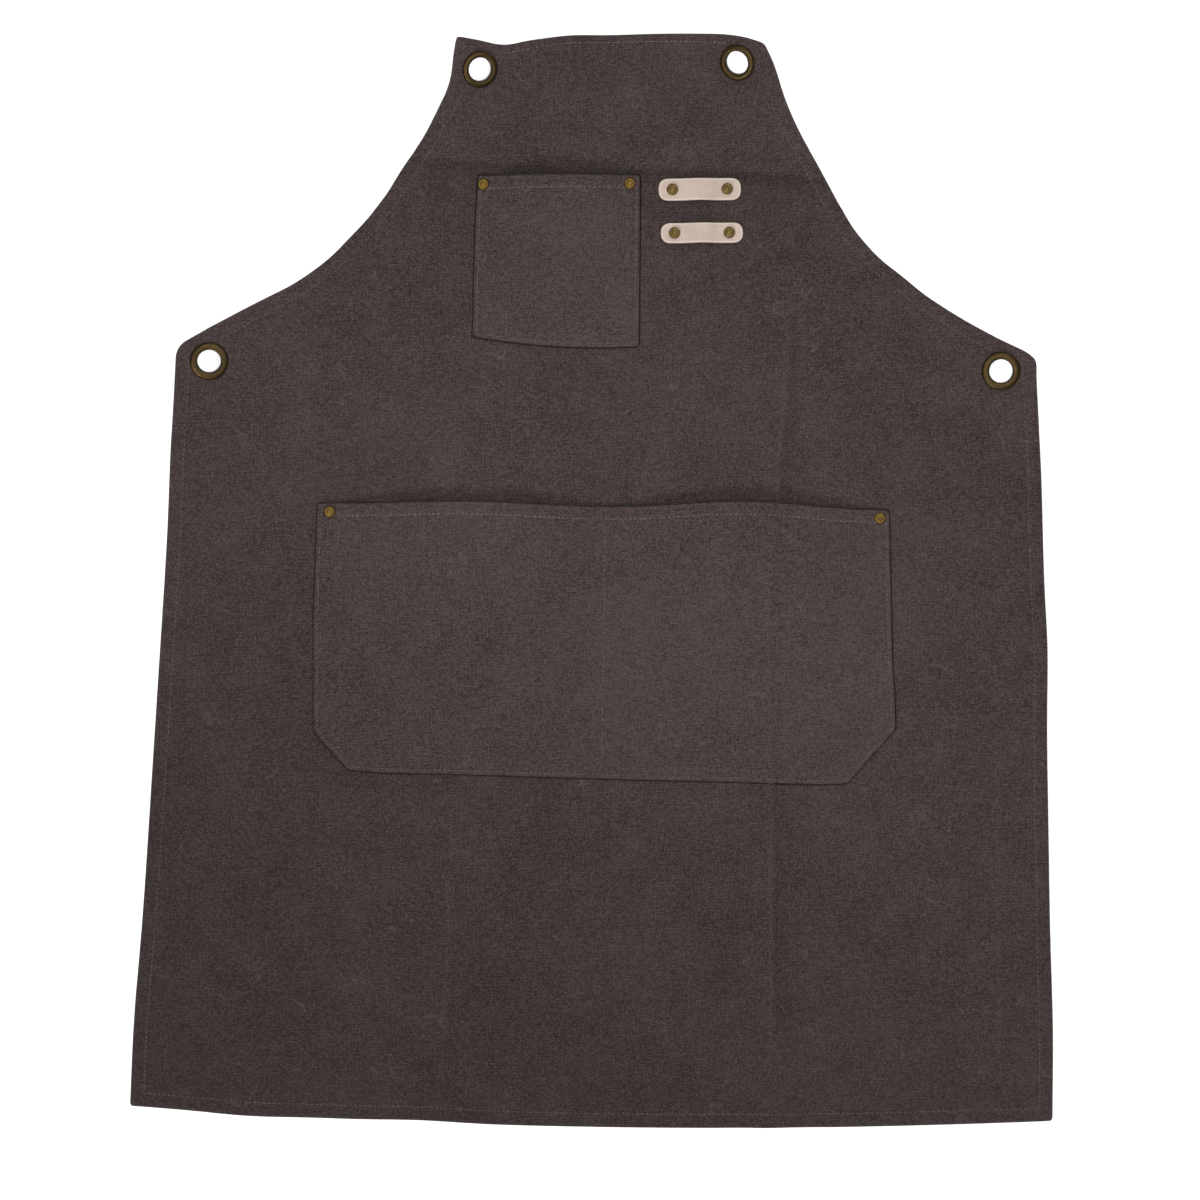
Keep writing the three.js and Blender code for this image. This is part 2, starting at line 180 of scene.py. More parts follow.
# How firmly a pocket is held down beside its seam, from 0 to 1, and its gap to the cloth that it lies on
SEWN_DOWN = Band(1.0, 6)
POCKET_GAP = 0.05 * MM

# How far the foot of an edge leans out at a pocket's mouth, at its other sides and round the leather, so
# that the shade painted on the foot shows from above
MOUTH_FLARE = 0.9 * MM
POCKET_FLARE = 0.25 * MM
LEATHER_FLARE = 0.35 * MM

# Ramps: the distances from an edge, a line or an eyelet at which a change starts and is complete
HEM_RISE = (0.5 * MM, 3.5 * MM)
HEM_FALL = (6 * MM, 9 * MM)
PUCKERS_END = (10 * MM, 16 * MM)
CLOTH_LOOSENS = (2 * MM, 22 * MM)
POCKET_LOOSENS = (2 * MM, 16 * MM)
POCKET_SHADE_END = (0.7 * MM, 1.5 * MM)
LEE_STARTS = (0.6 * MM, 3.0 * MM)
EYELET_PRESS_END = (15 * MM, 24 * MM)

# Share of a crease's length over which each of its ends fades out, and how far off it can be felt
CREASE_FADE = 0.15
CREASE_REACH = 40 * MM

# How the panels are meshed: the depths of the rings along an edge and round a hole, the spacing of the
# points inside, how far to the left of a crease or of a pocket's edge finer points lie, and how clear of
# them and of a hole's rings other points stay
HEM_RINGS = np.array([0.35, 0.9, 1.7, 3.3, 5.3, 7.3, 9.0, 9.7, 10.4, 11.2, 12.4, 14.6]) * MM
POCKET_RINGS = np.array([0.3, 0.8, 1.6, 2.6, 3.6, 5.4, 7.2, 8.4, 9.0, 9.6, 10.6, 12.4]) * MM
LEATHER_RINGS = np.array([0.2, 0.5, 0.9, 1.5, 2.3]) * MM
HOLE_RINGS = np.array([1.2, 2.8]) * MM
CLOTH_SPACING = 4.4 * MM
POCKET_SPACINGS = {"chest_pocket": 2.6 * MM, "waist_pocket": 3.6 * MM}
LEATHER_SPACING = 1.1 * MM
CREASE_OFFSETS = np.array([-4.0, -2.2, -1.0, 0.0, 1.0, 2.2, 4.0]) * MM
POCKET_EDGE_OFFSETS = np.array([0.7, -0.3, -0.9, -1.5]) * MM
CLEARANCE = 1.2 * MM

# How far from a corner the apron's edge starts to round off
LEFT_WAIST_ROUNDING = 9 * MM
RIGHT_ROUNDING = 4 * MM
SHARP_ROUNDING = 2.2 * MM

# The seam that halves the waist pocket: its places across the apron at its head and its foot, how far below
# the mouth its pale tack starts and ends, and how far above the low edge it stops
HALVING_HEAD, HALVING_FOOT = 3.1 * MM, 3.4 * MM
TACK_START, TACK_END = 7 * MM, 15 * MM
HALVING_STOP = 7 * MM

# Step between the points of a line that is measured from or sewn along
LINE_STEP = 1 * MM

# How far from an eyelet's flange the hem's stitches stop, and the fewest points of a run that is sewn
STITCH_MARGIN = 1.5 * MM
SHORTEST_RUN = 9

# Points worked on at a time, which keeps the arrays small
BLOCK = 2000

# Where a moved outline's points come nearer to it than this share of the move, a corner crowds them
CROWDED = 0.96

# How high the leather strips bow, as a share of their solids' bow, and how far round a rivet they are flat
LEATHER_BOW = 0.55
UNDER_RIVET = 4 * MM

# Sizes of the metal that its settings don't hold, how far past an eyelet's bore the cloth is cut, and how
# far out from the bore its shade reaches
EYELET_WALL = 0.8 * MM
EYELET_CUT_MARGIN = 2.0 * MM
BORE_SHADE = 0.5 * MM
WASHER_RIM = 13.2 * MM
RIVET_RADIUS = 4.15 * MM
RIVET_POST = 1.5 * MM

# Soft lights round the apron: the place, the width and the power in watts
SoftLight = namedtuple("SoftLight", "name place width power")
SOFT_LIGHTS = [
    SoftLight("front_softbox", (-1.1, -2.3, 1.9), 0.9, 40),
    SoftLight("overhead_softbox", (0.05, 0.14, 1.05), 1.0, 5.5),
    SoftLight("rear_softbox", (0.8, 2.4, 2.0), 1.8, 14),
]

# The pale room round the apron: its colour and light, the floor's half width, how far it lies below the
# apron and its own glow, and the place on it that the camera is over
ROOM_COLOUR = (0.95, 0.96, 1.0, 1)
ROOM_LIGHT = 0.26
FLOOR_REACH = 14.0
FLOOR_DROP = 0.2 * MM
FLOOR_GLOW = 0.7
VIEW_MIDDLE = (0.1 * MM, -14.5 * MM)


class ApronCloth(bpy.types.PropertyGroup):
    """Sizes and colours of the sewn canvas"""

    hem_inset: FloatProperty(
        name="Hem stitch inset", description="From the edge of the apron to the hem's stitching",
        default=10 * MM, min=4 * MM, unit="LENGTH")
    top_inset: FloatProperty(
        name="Top stitch inset", description="From the top edge of the bib to its stitching",
        default=5.5 * MM, min=4 * MM, unit="LENGTH")
    canvas: FloatProperty(
        name="Canvas", description="Thickness of one layer of canvas",
        default=1.2 * MM, min=0.5 * MM, unit="LENGTH")
    hem: FloatProperty(
        name="Hem", description="Thickness of the turned hem",
        default=3.0 * MM, min=1.0 * MM, unit="LENGTH")
    pocket_edge: FloatProperty(
        name="Pocket edge", description="Thickness of a pocket's turned edge",
        default=2.4 * MM, min=1.0 * MM, unit="LENGTH")
    mouth_inset: FloatProperty(
        name="Mouth stitch inset", description="From a pocket's mouth to the stitching below it",
        default=9 * MM, min=3 * MM, unit="LENGTH")
    seam_inset: FloatProperty(
        name="Seam inset", description="From a pocket's side to the seam that holds it",
        default=2.6 * MM, min=1 * MM, unit="LENGTH")
    colour: FloatVectorProperty(
        name="Canvas colour", description="Washed canvas of the body",
        subtype="COLOR", size=3, min=0, max=1, default=(0.0116, 0.0071, 0.0066))
    pocket_colour: FloatVectorProperty(
        name="Pocket colour", description="Washed canvas of the pockets",
        subtype="COLOR", size=3, min=0, max=1, default=(0.0126, 0.0077, 0.0072))
    faded: FloatVectorProperty(
        name="Faded colour", description="Canvas where washing and rubbing have paled it",
        subtype="COLOR", size=3, min=0, max=1, default=(0.126, 0.0915, 0.0855))


class ApronThread(bpy.types.PropertyGroup):
    """Sizes and colour of the stitches"""

    pitch: FloatProperty(
        name="Pitch", description="From one stitch to the next",
        default=3.5 * MM, min=1 * MM, unit="LENGTH")
    length: FloatProperty(
        name="Length", description="Length of a stitch that shows",
        default=2.7 * MM, min=0.5 * MM, unit="LENGTH")
    width: FloatProperty(
        name="Width", description="Width of the thread",
        default=0.5 * MM, min=0.1 * MM, unit="LENGTH")
    colour: FloatVectorProperty(
        name="Thread colour", description="Pale thread along the pockets' mouths and the top of the bib",
        subtype="COLOR", size=3, min=0, max=1, default=(0.215, 0.184, 0.170))
    seam_colour: FloatVectorProperty(
        name="Seam thread colour", description="Darker thread of the hem and the seams",
        subtype="COLOR", size=3, min=0, max=1, default=(0.15, 0.122, 0.113))


class ApronHardware(bpy.types.PropertyGroup):
    """Sizes and colours of the leather and the brass"""

    eyelet_hole: FloatProperty(
        name="Eyelet hole", description="Diameter of the hole through an eyelet",
        default=17 * MM, min=4 * MM, unit="LENGTH")
    eyelet_flange: FloatProperty(
        name="Eyelet flange", description="Diameter of the rolled flange of the waist's eyelets",
        default=28 * MM, min=8 * MM, unit="LENGTH")
    bib_flange: FloatProperty(
        name="Bib eyelet flange", description="Diameter of the rolled flange of the bib's eyelets",
        default=26.4 * MM, min=8 * MM, unit="LENGTH")
    eyelet_rise: FloatProperty(
        name="Eyelet rise", description="Height of the flange above the cloth",
        default=2.4 * MM, min=0.5 * MM, unit="LENGTH")
    rivet_rise: FloatProperty(
        name="Rivet rise", description="Height of a rivet's cap",
        default=2.0 * MM, min=0.5 * MM, unit="LENGTH")
    leather: FloatProperty(
        name="Leather", description="Thickness of the leather strips",
        default=2.2 * MM, min=0.5 * MM, unit="LENGTH")
    leather_colour: FloatVectorProperty(
        name="Leather colour", description="Undyed grain side of the strips",
        subtype="COLOR", size=3, min=0, max=1, default=(0.66, 0.525, 0.44))
    eyelet_colour: FloatVectorProperty(
        name="Eyelet brass", description="Antique brass of the eyelets",
        subtype="COLOR", size=3, min=0, max=1, default=(0.075, 0.050, 0.0205))
    loop_rivet_colour: FloatVectorProperty(
        name="Strip rivet brass", description="Antique brass of the rivets in the leather",
        subtype="COLOR", size=3, min=0, max=1, default=(0.185, 0.125, 0.046))
    pocket_rivet_colour: FloatVectorProperty(
        name="Pocket rivet brass", description="Warmer brass of the rivets at the pockets",
        subtype="COLOR", size=3, min=0, max=1, default=(0.205, 0.130, 0.032))


class ApronStage(bpy.types.PropertyGroup):
    """Floor, light and camera"""

    floor_colour: FloatVectorProperty(
        name="Floor", description="Colour of the floor",
        subtype="COLOR", size=3, min=0, max=1, default=(0.93, 0.93, 0.93))
    camera_height: FloatProperty(
        name="Camera height", description="Height of the camera over the apron",
        default=2.4, min=0.5, unit="LENGTH")
    view_width: FloatProperty(
        name="View width", description="Width of the floor that the camera sees",
        default=878.4 * MM, min=0.1, unit="LENGTH")
    view_turn: FloatProperty(
        name="View turn", description="How far the camera is turned about its line of sight",
        default=math.radians(0.95), subtype="ANGLE")


# Plane curves

def smoothstep(value, low, high):
    t = np.clip((value - low) / (high - low), 0, 1)
    return t * t * (3 - 2 * t)


def fading(value, low, high):
    """1 up to a low value, and 0 from a high one on."""
    return 1 - smoothstep(value, low, high)


def banded(band, distance, unit=1.0):
    """What a band adds at each distance from its seam, in a unit."""
    return band.amount * unit * np.exp(-((distance - band.crest * MM) / (band.width * MM)) ** 2)


def lengths_along(path):
    return np.r_[0, np.cumsum(np.linalg.norm(np.diff(path, axis=0), axis=1))]


def sampled(values, path, at):
    """Values given at the points of a path, taken at lengths along it."""
    along = lengths_along(path)
    return np.stack([np.interp(at, along, column) for column in values.T], axis=-1)


def steps_along(path, step):
    length = lengths_along(path)[-1]
    return np.linspace(0, length, max(2, round(length / step) + 1))


def spaced(path, step):
    """Points at equal steps along a path, its two ends among them."""
    return sampled(path, path, steps_along(path, step))


def smooth_through(points, step):
    """A smooth curve through points, sampled at about equal steps."""
    points = np.asarray(points, float)
    along = lengths_along(points)
    slope = np.gradient(points, along, axis=0)
    at = steps_along(points, step)
    k = np.clip(np.searchsorted(along, at, side="right") - 1, 0, len(points) - 2)
    span = (along[k + 1] - along[k])[:, None]
    t = ((at - along[k]) / span[:, 0])[:, None]
    starts = (1 + 2 * t) * (1 - t) ** 2 * points[k] + t * (1 - t) ** 2 * span * slope[k]
    ends = t * t * (3 - 2 * t) * points[k + 1] + t * t * (t - 1) * span * slope[k + 1]
    return starts + ends


def closed(loop):
    return np.vstack([loop, loop[:1]])


def evened(run, step, reach, wraps=False):
    """A run of points at equal steps, smoothed over a reach. Its ends stay, unless it wraps round."""
    half = min(round(3 * reach / step), len(run) - 1)
    if wraps:
        padded = np.vstack([run[-half:], run, run[:half]])
    else:
        padded = np.vstack([2 * run[0] - run[half:0:-1], run, 2 * run[-1] - run[-2:-half - 2:-1]])
    kernel = np.exp(-0.5 * (np.arange(-half, half + 1) * step / reach) ** 2)
    kernel = kernel / kernel.sum()
    return np.column_stack([np.convolve(padded[:, k], kernel, mode="valid") for k in (0, 1)])


def path_distance(points, path):
    """How far each point is from a finely spaced path, and how far along the path its foot is."""
    nearest = np.empty(len(points), int)
    for start in range(0, len(points), BLOCK):
        gap = points[start:start + BLOCK, None] - path
        nearest[start:start + BLOCK] = (gap ** 2).sum(2).argmin(1)
    along = lengths_along(path)
    best, foot = np.full(len(points), np.inf), np.zeros(len(points))
    for first in (nearest - 1, nearest):
        k = np.clip(first, 0, len(path) - 2)
        edge = path[k + 1] - path[k]
        t = np.clip(((points - path[k]) * edge).sum(1) / (edge ** 2).sum(1), 0, 1)
        far = np.linalg.norm(points - path[k] - t[:, None] * edge, axis=1)
        closer = far < best
        best = np.where(closer, far, best)
        foot = np.where(closer, along[k] + t * (along[k + 1] - along[k]), foot)
    return best, foot


def inside(points, loop):
    """Which points a closed loop goes round."""
    result = np.zeros(len(points), bool)
    ends = np.roll(loop, -1, axis=0)
    for (x0, y0), (x1, y1) in zip(loop, ends):
        crosses = (points[:, 1] < y0) != (points[:, 1] < y1)
        if crosses.any():
            at = x0 + (points[crosses, 1] - y0) * (x1 - x0) / (y1 - y0)
            result[crosses] ^= points[crosses, 0] < at
    return result


def turned_left(ways):
    """Unit vectors at right angles to some ways, to their left."""
    across = np.column_stack([-ways[:, 1], ways[:, 0]])
    return across / np.linalg.norm(across, axis=1, keepdims=True)


def left_of(path):
    """Unit vectors to the left of an open path."""
    return turned_left(np.gradient(path, axis=0))


def inward(loop):
    """Unit vectors to the inside of an anticlockwise loop."""
    return turned_left(np.roll(loop, -1, axis=0) - np.roll(loop, 1, axis=0))


def inset(loop, depth):
    """An anticlockwise loop moved inwards, without the points that a corner crowds together."""
    moved = loop + inward(loop) * np.reshape(depth, (-1, 1))
    far, _ = path_distance(moved, closed(loop))
    return moved[far > CROWDED * np.ravel(depth)]


# Outlines of the frame's nodes

def welded(node):
    mesh = bmesh.new()
    mesh.from_mesh(frame["nodes"][node].data)
    bmesh.ops.remove_doubles(mesh, verts=mesh.verts, dist=0.001 * MM)
    mesh.normal_update()
    return mesh


def faces_up(face):
    return face.normal.z > 0.7


def face_outline(node):
    """The outer edge of a node's upper face, anticlockwise, as points in the plane."""
    mesh = welded(node)
    following = {}
    for face in filter(faces_up, mesh.faces):
        for corner in face.loops:
            if not faces_up(corner.link_loop_radial_next.face):
                following[corner.vert] = corner.link_loop_next.vert
    loops = []
    while following:
        start, vert = following.popitem()
        loop = [start]
        while vert is not start:
            loop.append(vert)
            vert = following.pop(vert)
        loops.append(np.array([v.co.xy for v in loop]))
    longest = max(loops, key=lambda loop: lengths_along(closed(loop))[-1])
    mesh.free()
    return longest


def corner_numbers(loop):
    """The points at which a loop turns sharply."""
    before = loop - np.roll(loop, 1, axis=0)
    after = np.roll(loop, -1, axis=0) - loop
    cross = before[:, 0] * after[:, 1] - before[:, 1] * after[:, 0]
    turn = np.abs(np.arctan2(cross, (before * after).sum(1)))
    return np.flatnonzero(turn > math.radians(30))


def eased_outline(node, spacing, reach, easing=None):
    """A node's outline as runs evened out over a reach between its corners. Where it has corners, easing
    gives how far from each one it starts to round off."""
    raw = face_outline(node)
    fine = 0.5 * MM
    corners = corner_numbers(raw)
    if not len(corners):
        loop = evened(spaced(closed(raw), fine)[:-1], fine, reach, wraps=True)
        return spaced(closed(loop), spacing)[:-1]
    raw = closed(np.roll(raw, -corners[0], axis=0))
    stops = [*(corners - corners[0]), len(raw) - 1]
    runs = [evened(spaced(raw[a:b + 1], fine), fine, reach)[:-1] for a, b in zip(stops, stops[1:])]
    loop = np.vstack(runs)
    rounded = loop.copy()
    for start in np.cumsum([0, *map(len, runs)])[:-1]:
        samples = max(1, round(easing(loop[start]) / fine))
        numbers = np.arange(start - samples, start + samples + 1) % len(loop)
        t = np.linspace(0, 1, len(numbers))[:, None]
        ends = (1 - t) ** 2 * loop[numbers[0]] + t ** 2 * loop[numbers[-1]]
        rounded[numbers] = ends + 2 * t * (1 - t) * loop[start]
    return spaced(closed(rounded), spacing)[:-1]


def drifted(loop, drifts):
    """An outline with the places moved at which its edge has pulled away."""
    moved = loop.copy()
    for drift in drifts:
        far = np.linalg.norm(loop / MM - (drift.x, drift.y), axis=1)
        share = np.exp(-0.5 * (far / drift.reach) ** 2)
        moved += np.outer(share, (drift.right * MM, drift.up * MM))
    return moved


def apron_outline():
    """The apron's edge. Its left waist corner is the roundest, those at the right of the waist and the bib
    are less so, and the others are nearly sharp."""
    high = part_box("apron_body")[1]

    def easing(corner):
        x, y = corner
        at_waist = 0.3 * high.y < y < 0.6 * high.y
        if at_waist and x < 0:
            return LEFT_WAIST_ROUNDING
        return RIGHT_ROUNDING if x > 0 and y > 0 else SHARP_ROUNDING

    return drifted(eased_outline("apron_body", spacing=2.4 * MM, reach=6 * MM, easing=easing), EDGE_DRIFTS)


def pocket_outline(node):
    outline = eased_outline(node, spacing=1.8 * MM, reach=8 * MM, easing=lambda corner: 1.8 * MM)
    return drifted(outline, POCKET_DRIFTS[node])


def between(loop, first, last):
    """The stretch of a closed loop from the point nearest first on to the point nearest last."""
    a, b = (np.linalg.norm(loop - end, axis=1).argmin() for end in (first, last))
    return np.roll(loop, -a, axis=0)[:(b - a) % len(loop) + 1]


# Panels cut to an outline

Panel = namedtuple("Panel", "points triangles loops edge")


def staggered(low, high, step):
    rows = np.arange(low[1], high[1], step * math.sqrt(3) / 2)
    columns = np.arange(low[0], high[0], step)
    return np.vstack([np.column_stack([columns + step / 2 * (k % 2), np.full(len(columns), y)])
                      for k, y in enumerate(rows)])


# A line on a panel that needs finer points, and how far to its left they lie
Strip = namedtuple("Strip", "path offsets")


def crease_strips():
    """Finer points along the creases that are rubbed or that have shade painted on their lee side."""
    paths = [np.array(crease.path) * MM for crease in CREASES if crease.rub or crease.dark]
    return [Strip(smooth_through(path, step=2.4 * MM), CREASE_OFFSETS) for path in paths]


def cut_panel(outline, depths, spacing, holes=(), strips=()):
    """Points and triangles that fill an outline: rings along its edge, finer points along any strips on it,
    and a staggered grid inside."""
    rings = [inset(outline, np.full(len(outline), depth)) for depth in depths]
    grid = staggered(outline.min(0), outline.max(0), spacing)
    grid = grid[inside(grid, outline)]
    far, _ = path_distance(grid, closed(outline))
    grid = grid[far > depths[-1] + 0.6 * spacing]
    for strip in strips:
        grid = grid[path_distance(grid, strip.path)[0] > np.abs(strip.offsets).max() + CLEARANCE]
        fine = np.vstack([strip.path + left_of(strip.path) * offset for offset in strip.offsets])
        fine = fine[inside(fine, outline)]
        fine = fine[path_distance(fine, closed(outline))[0] > depths[-1] + 1 * MM]
        grid = np.vstack([grid, fine])
    filling = np.vstack([*rings, grid])
    loops, around = [outline], []
    for hole in holes:
        centre = hole.mean(0)
        reach = np.linalg.norm(hole - centre, axis=1).max()
        shares = 1 + HOLE_RINGS / reach
        filling = filling[np.linalg.norm(filling - centre, axis=1) > reach * shares[-1] + CLEARANCE]
        around += [centre + (hole - centre) * share for share in shares]
        loops.append(hole)
    points = np.vstack([*loops, *around, filling])
    starts = np.cumsum([0, *map(len, loops)])
    numbers = [np.arange(a, b) for a, b in zip(starts, starts[1:])]
    fixed = [pair for loop in numbers for pair in zip(loop.tolist(), np.roll(loop, -1).tolist())]
    made = delaunay_2d_cdt([Vector(p) for p in points], fixed, [], 1, 1e-9)
    if len(made[0]) != len(points):
        raise RuntimeError("points of a panel fall together")
    triangles = np.array(made[2])
    for loop in numbers[1:]:
        triangles = triangles[~np.isin(triangles, loop).all(1)]
    edge, _ = path_distance(points, closed(outline))
    return Panel(points, triangles, numbers, edge)


def heights(surface, points, upward=False):
    """Height of a surface over each point, seen from above or from below. Points beside it get the nearest
    height."""
    start, way = (-1.0, Vector((0, 0, 1))) if upward else (1.0, Vector((0, 0, -1)))
    hits = [surface.ray_cast(Vector((x, y, start)), way)[0] for x, y in points]
    found = [k for k, hit in enumerate(hits) if hit]
    tree = KDTree(len(found))
    for k in found:
        tree.insert((*points[k], 0), k)
    tree.balance()
    for k, (x, y) in enumerate(points):
        if not hits[k]:
            level = hits[tree.find((x, y, 0))[1]].z
            hits[k] = surface.find_nearest(Vector((x, y, level)))[0]
    return np.array([hit.z for hit in hits])


def bending(points, others):
    """How much a thin plate that is held at each of the others bends at each point."""
    square = ((points[:, None] - others) ** 2).sum(2)
    return square * np.log(square + 1e-18)


def draped(node, points):
    """Heights at points of a thin plate bent through the corners of a node's upper facets."""
    mesh = welded(node)
    held = np.array([v.co for v in mesh.verts if any(map(faces_up, v.link_faces))])
    mesh.free()
    plan, size = held[:, :2], len(held)
    flat = np.column_stack([np.ones(size), plan])
    system = np.block([[bending(plan, plan), flat], [flat.T, np.zeros((3, 3))]])
    weights = np.linalg.solve(system, np.r_[held[:, 2], 0, 0, 0])
    return np.concatenate([
        bending(part, plan) @ weights[:size] + weights[size] + part @ weights[size + 1:]
        for part in np.array_split(points, max(1, len(points) // BLOCK))])


def swells(points, table):
    """Slow random humps and hollows of the cloth."""
    total = np.zeros(len(points))
    cells = 64
    for swell in table:
        lattice = np.random.default_rng(swell.seed).uniform(-1, 1, (cells, cells))
        at = points / (swell.size * MM) + cells / 2
        cell = np.floor(at).astype(int)
        part = smoothstep(at - cell, 0, 1)
        (i, j), (u, v) = cell.T, part.T
        corner = [[lattice[(i + a) % cells, (j + b) % cells] for b in (0, 1)] for a in (0, 1)]
        low = corner[0][0] * (1 - v) + corner[0][1] * v
        high = corner[1][0] * (1 - v) + corner[1][1] * v
        total += swell.height * MM * (low * (1 - u) + high * u)
    return total


def creased(points):
    """Height that the creases add at each point, and how rubbed it is there, less the shade painted on their
    lee sides.
    """
    height, rub, dark = np.zeros((3, len(points)))
    for crease in CREASES:
        path = smooth_through(np.array(crease.path) * MM, step=2 * MM)
        reach = max(CREASE_REACH, 3 * crease.lee * MM)
        near = (points > path.min(0) - reach).all(1) & (points < path.max(0) + reach).all(1)
        far, foot = path_distance(points[near], path)
        length = lengths_along(path)[-1]
        fade = CREASE_FADE * length
        ends = smoothstep(foot, 0, fade) * smoothstep(length - foot, 0, fade)
        shape = np.exp(-np.abs(far / (crease.width * MM)) ** 1.4) * ends
        height[near] += crease.height * MM * shape
        line = banded(CREASE_RUB, far) * ends
        rub[near] = np.maximum(rub[near], crease.rub * line)
        # Shade painted on the lee side of the crease, to the right of its path
        away = points[near] - sampled(path, path, foot)
        to_lee = -(away * sampled(left_of(path), path, foot)).sum(1)
        lee = smoothstep(to_lee, *LEE_STARTS) * np.exp(-np.maximum(to_lee, 0) / (crease.lee * MM))
        dark[near] = np.maximum(dark[near], crease.dark * lee * ends)
    return height, rub - dark


def turned_thickness(edge, single, folded, width, run_out):
    """Thickness of a sheet whose edge is turned in by a width, which then runs out into a single layer."""
    return single + (folded - single) * fading(edge, width, width + run_out)


def upward_normals(points, triangles):
    a, b, c = (points[triangles[:, k]] for k in range(3))
    faces = np.cross(b - a, c - a)
    total = np.column_stack([
        sum(np.bincount(triangles[:, k], faces[:, axis], len(points)) for k in range(3))
        for axis in range(3)])
    return total / np.linalg.norm(total, axis=1, keepdims=True)


def new_object(name, points, faces):
    mesh = bpy.data.meshes.new(name)
    mesh.from_pydata(np.asarray(points).tolist(), [], faces)
    mesh.polygons.foreach_set("use_smooth", [True] * len(mesh.polygons))
    mesh.validate()
    made = bpy.data.objects.new(name, mesh)
    bpy.context.scene.collection.objects.link(made)
    return made


def closed_panel(name, panel, face, thickness, rounding, flare=0.0, floor=None):
    """A panel as a closed sheet: its face at the given heights and its back below, with round edges that
    lean out by a flare."""
    top = np.column_stack([panel.points, face])
    normal = upward_normals(top, panel.triangles)
    roundness = 0.93
    depth = roundness * np.clip(1 - panel.edge / rounding, 0, 1)
    tuck = 0.5 * thickness * (1 - np.sqrt(1 - depth ** 2))
    back = top - normal * (thickness - tuck)[:, None]
    top = top - normal * tuck[:, None]
    rim = panel.loops[0]
    back[rim, :2] -= np.reshape(flare, (-1, 1)) * inward(panel.points[rim])
    if floor is not None:
        back[:, 2] = np.maximum(back[:, 2], floor)
    size = len(top)
    faces = panel.triangles.tolist() + (panel.triangles[:, ::-1] + size).tolist()
    for number, loop in enumerate(panel.loops):
        after = np.roll(loop, -1)
        first, last = (loop, after) if number == 0 else (after, loop)
        faces += np.column_stack([first, first + size, last + size, last]).tolist()
    return new_object(name, np.vstack([top, back]), faces)


# The stored attribute holds rubbing above zero and painted shade below zero
def store_wear_and_shade(piece, values):
    wear_and_shade = piece.data.attributes.new("wear_and_shade", "FLOAT", "POINT")
    wear_and_shade.data.foreach_set("value", values)


def add_wear_and_shade(piece, panel, values, foot_shade=0.0):
    """Stores how rubbed a sheet's face is, and half of it on its back. Below zero it is painted shade, and a
    foot shade paints shade on the foot of its edges."""
    back = 0.5 * values
    rim = panel.loops[0]
    back[rim] = np.where(np.greater(foot_shade, 0), -np.asarray(foot_shade), back[rim])
    store_wear_and_shade(piece, np.r_[values, back])


def finish_piece(piece, material, slot, *nodes):
    piece.data.materials.append(material)
    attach(piece, "root")
    if nodes:
        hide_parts(*nodes)


def surface_of(name):
    piece = bpy.data.objects[name]
    mesh = bmesh.new()
    mesh.from_mesh(piece.data)
    tree = BVHTree.FromBMesh(mesh)
    mesh.free()
    return tree


# Places of the hardware, from the frame

def eyelet_frame(corner, rise):
    """An eyelet's own axes: its origin is on the cloth's face and its third axis points out of it."""
    mounts = {mount["name"]: mount for mount in frame["record"]["mounts"]}
    up = -Vector(mounts[f"eyelet_{corner}_back"]["axis"])
    mesh = welded(f"eyelet_{corner}")
    points = [v.co.copy() for v in mesh.verts]
    mesh.free()
    middle = sum(points, Vector()) / len(points)
    top = max((p - middle).dot(up) for p in points)
    turn = up.to_track_quat("Z", "Y").to_matrix().to_4x4()
    return Matrix.Translation(middle + up * (top - rise)) @ turn


def rivet_distance(points, names):
    """How far each point is from the nearest of some rivets, in the plane."""
    boxes = [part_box(f"rivet_{name}") for name in names]
    middles = [np.array(((low + high) / 2).xy) for low, high in boxes]
    return np.min([np.linalg.norm(points - middle, axis=1) for middle in middles], axis=0)


# Materials

def dimmed(colour, share):
    return tuple(share * part for part in colour)


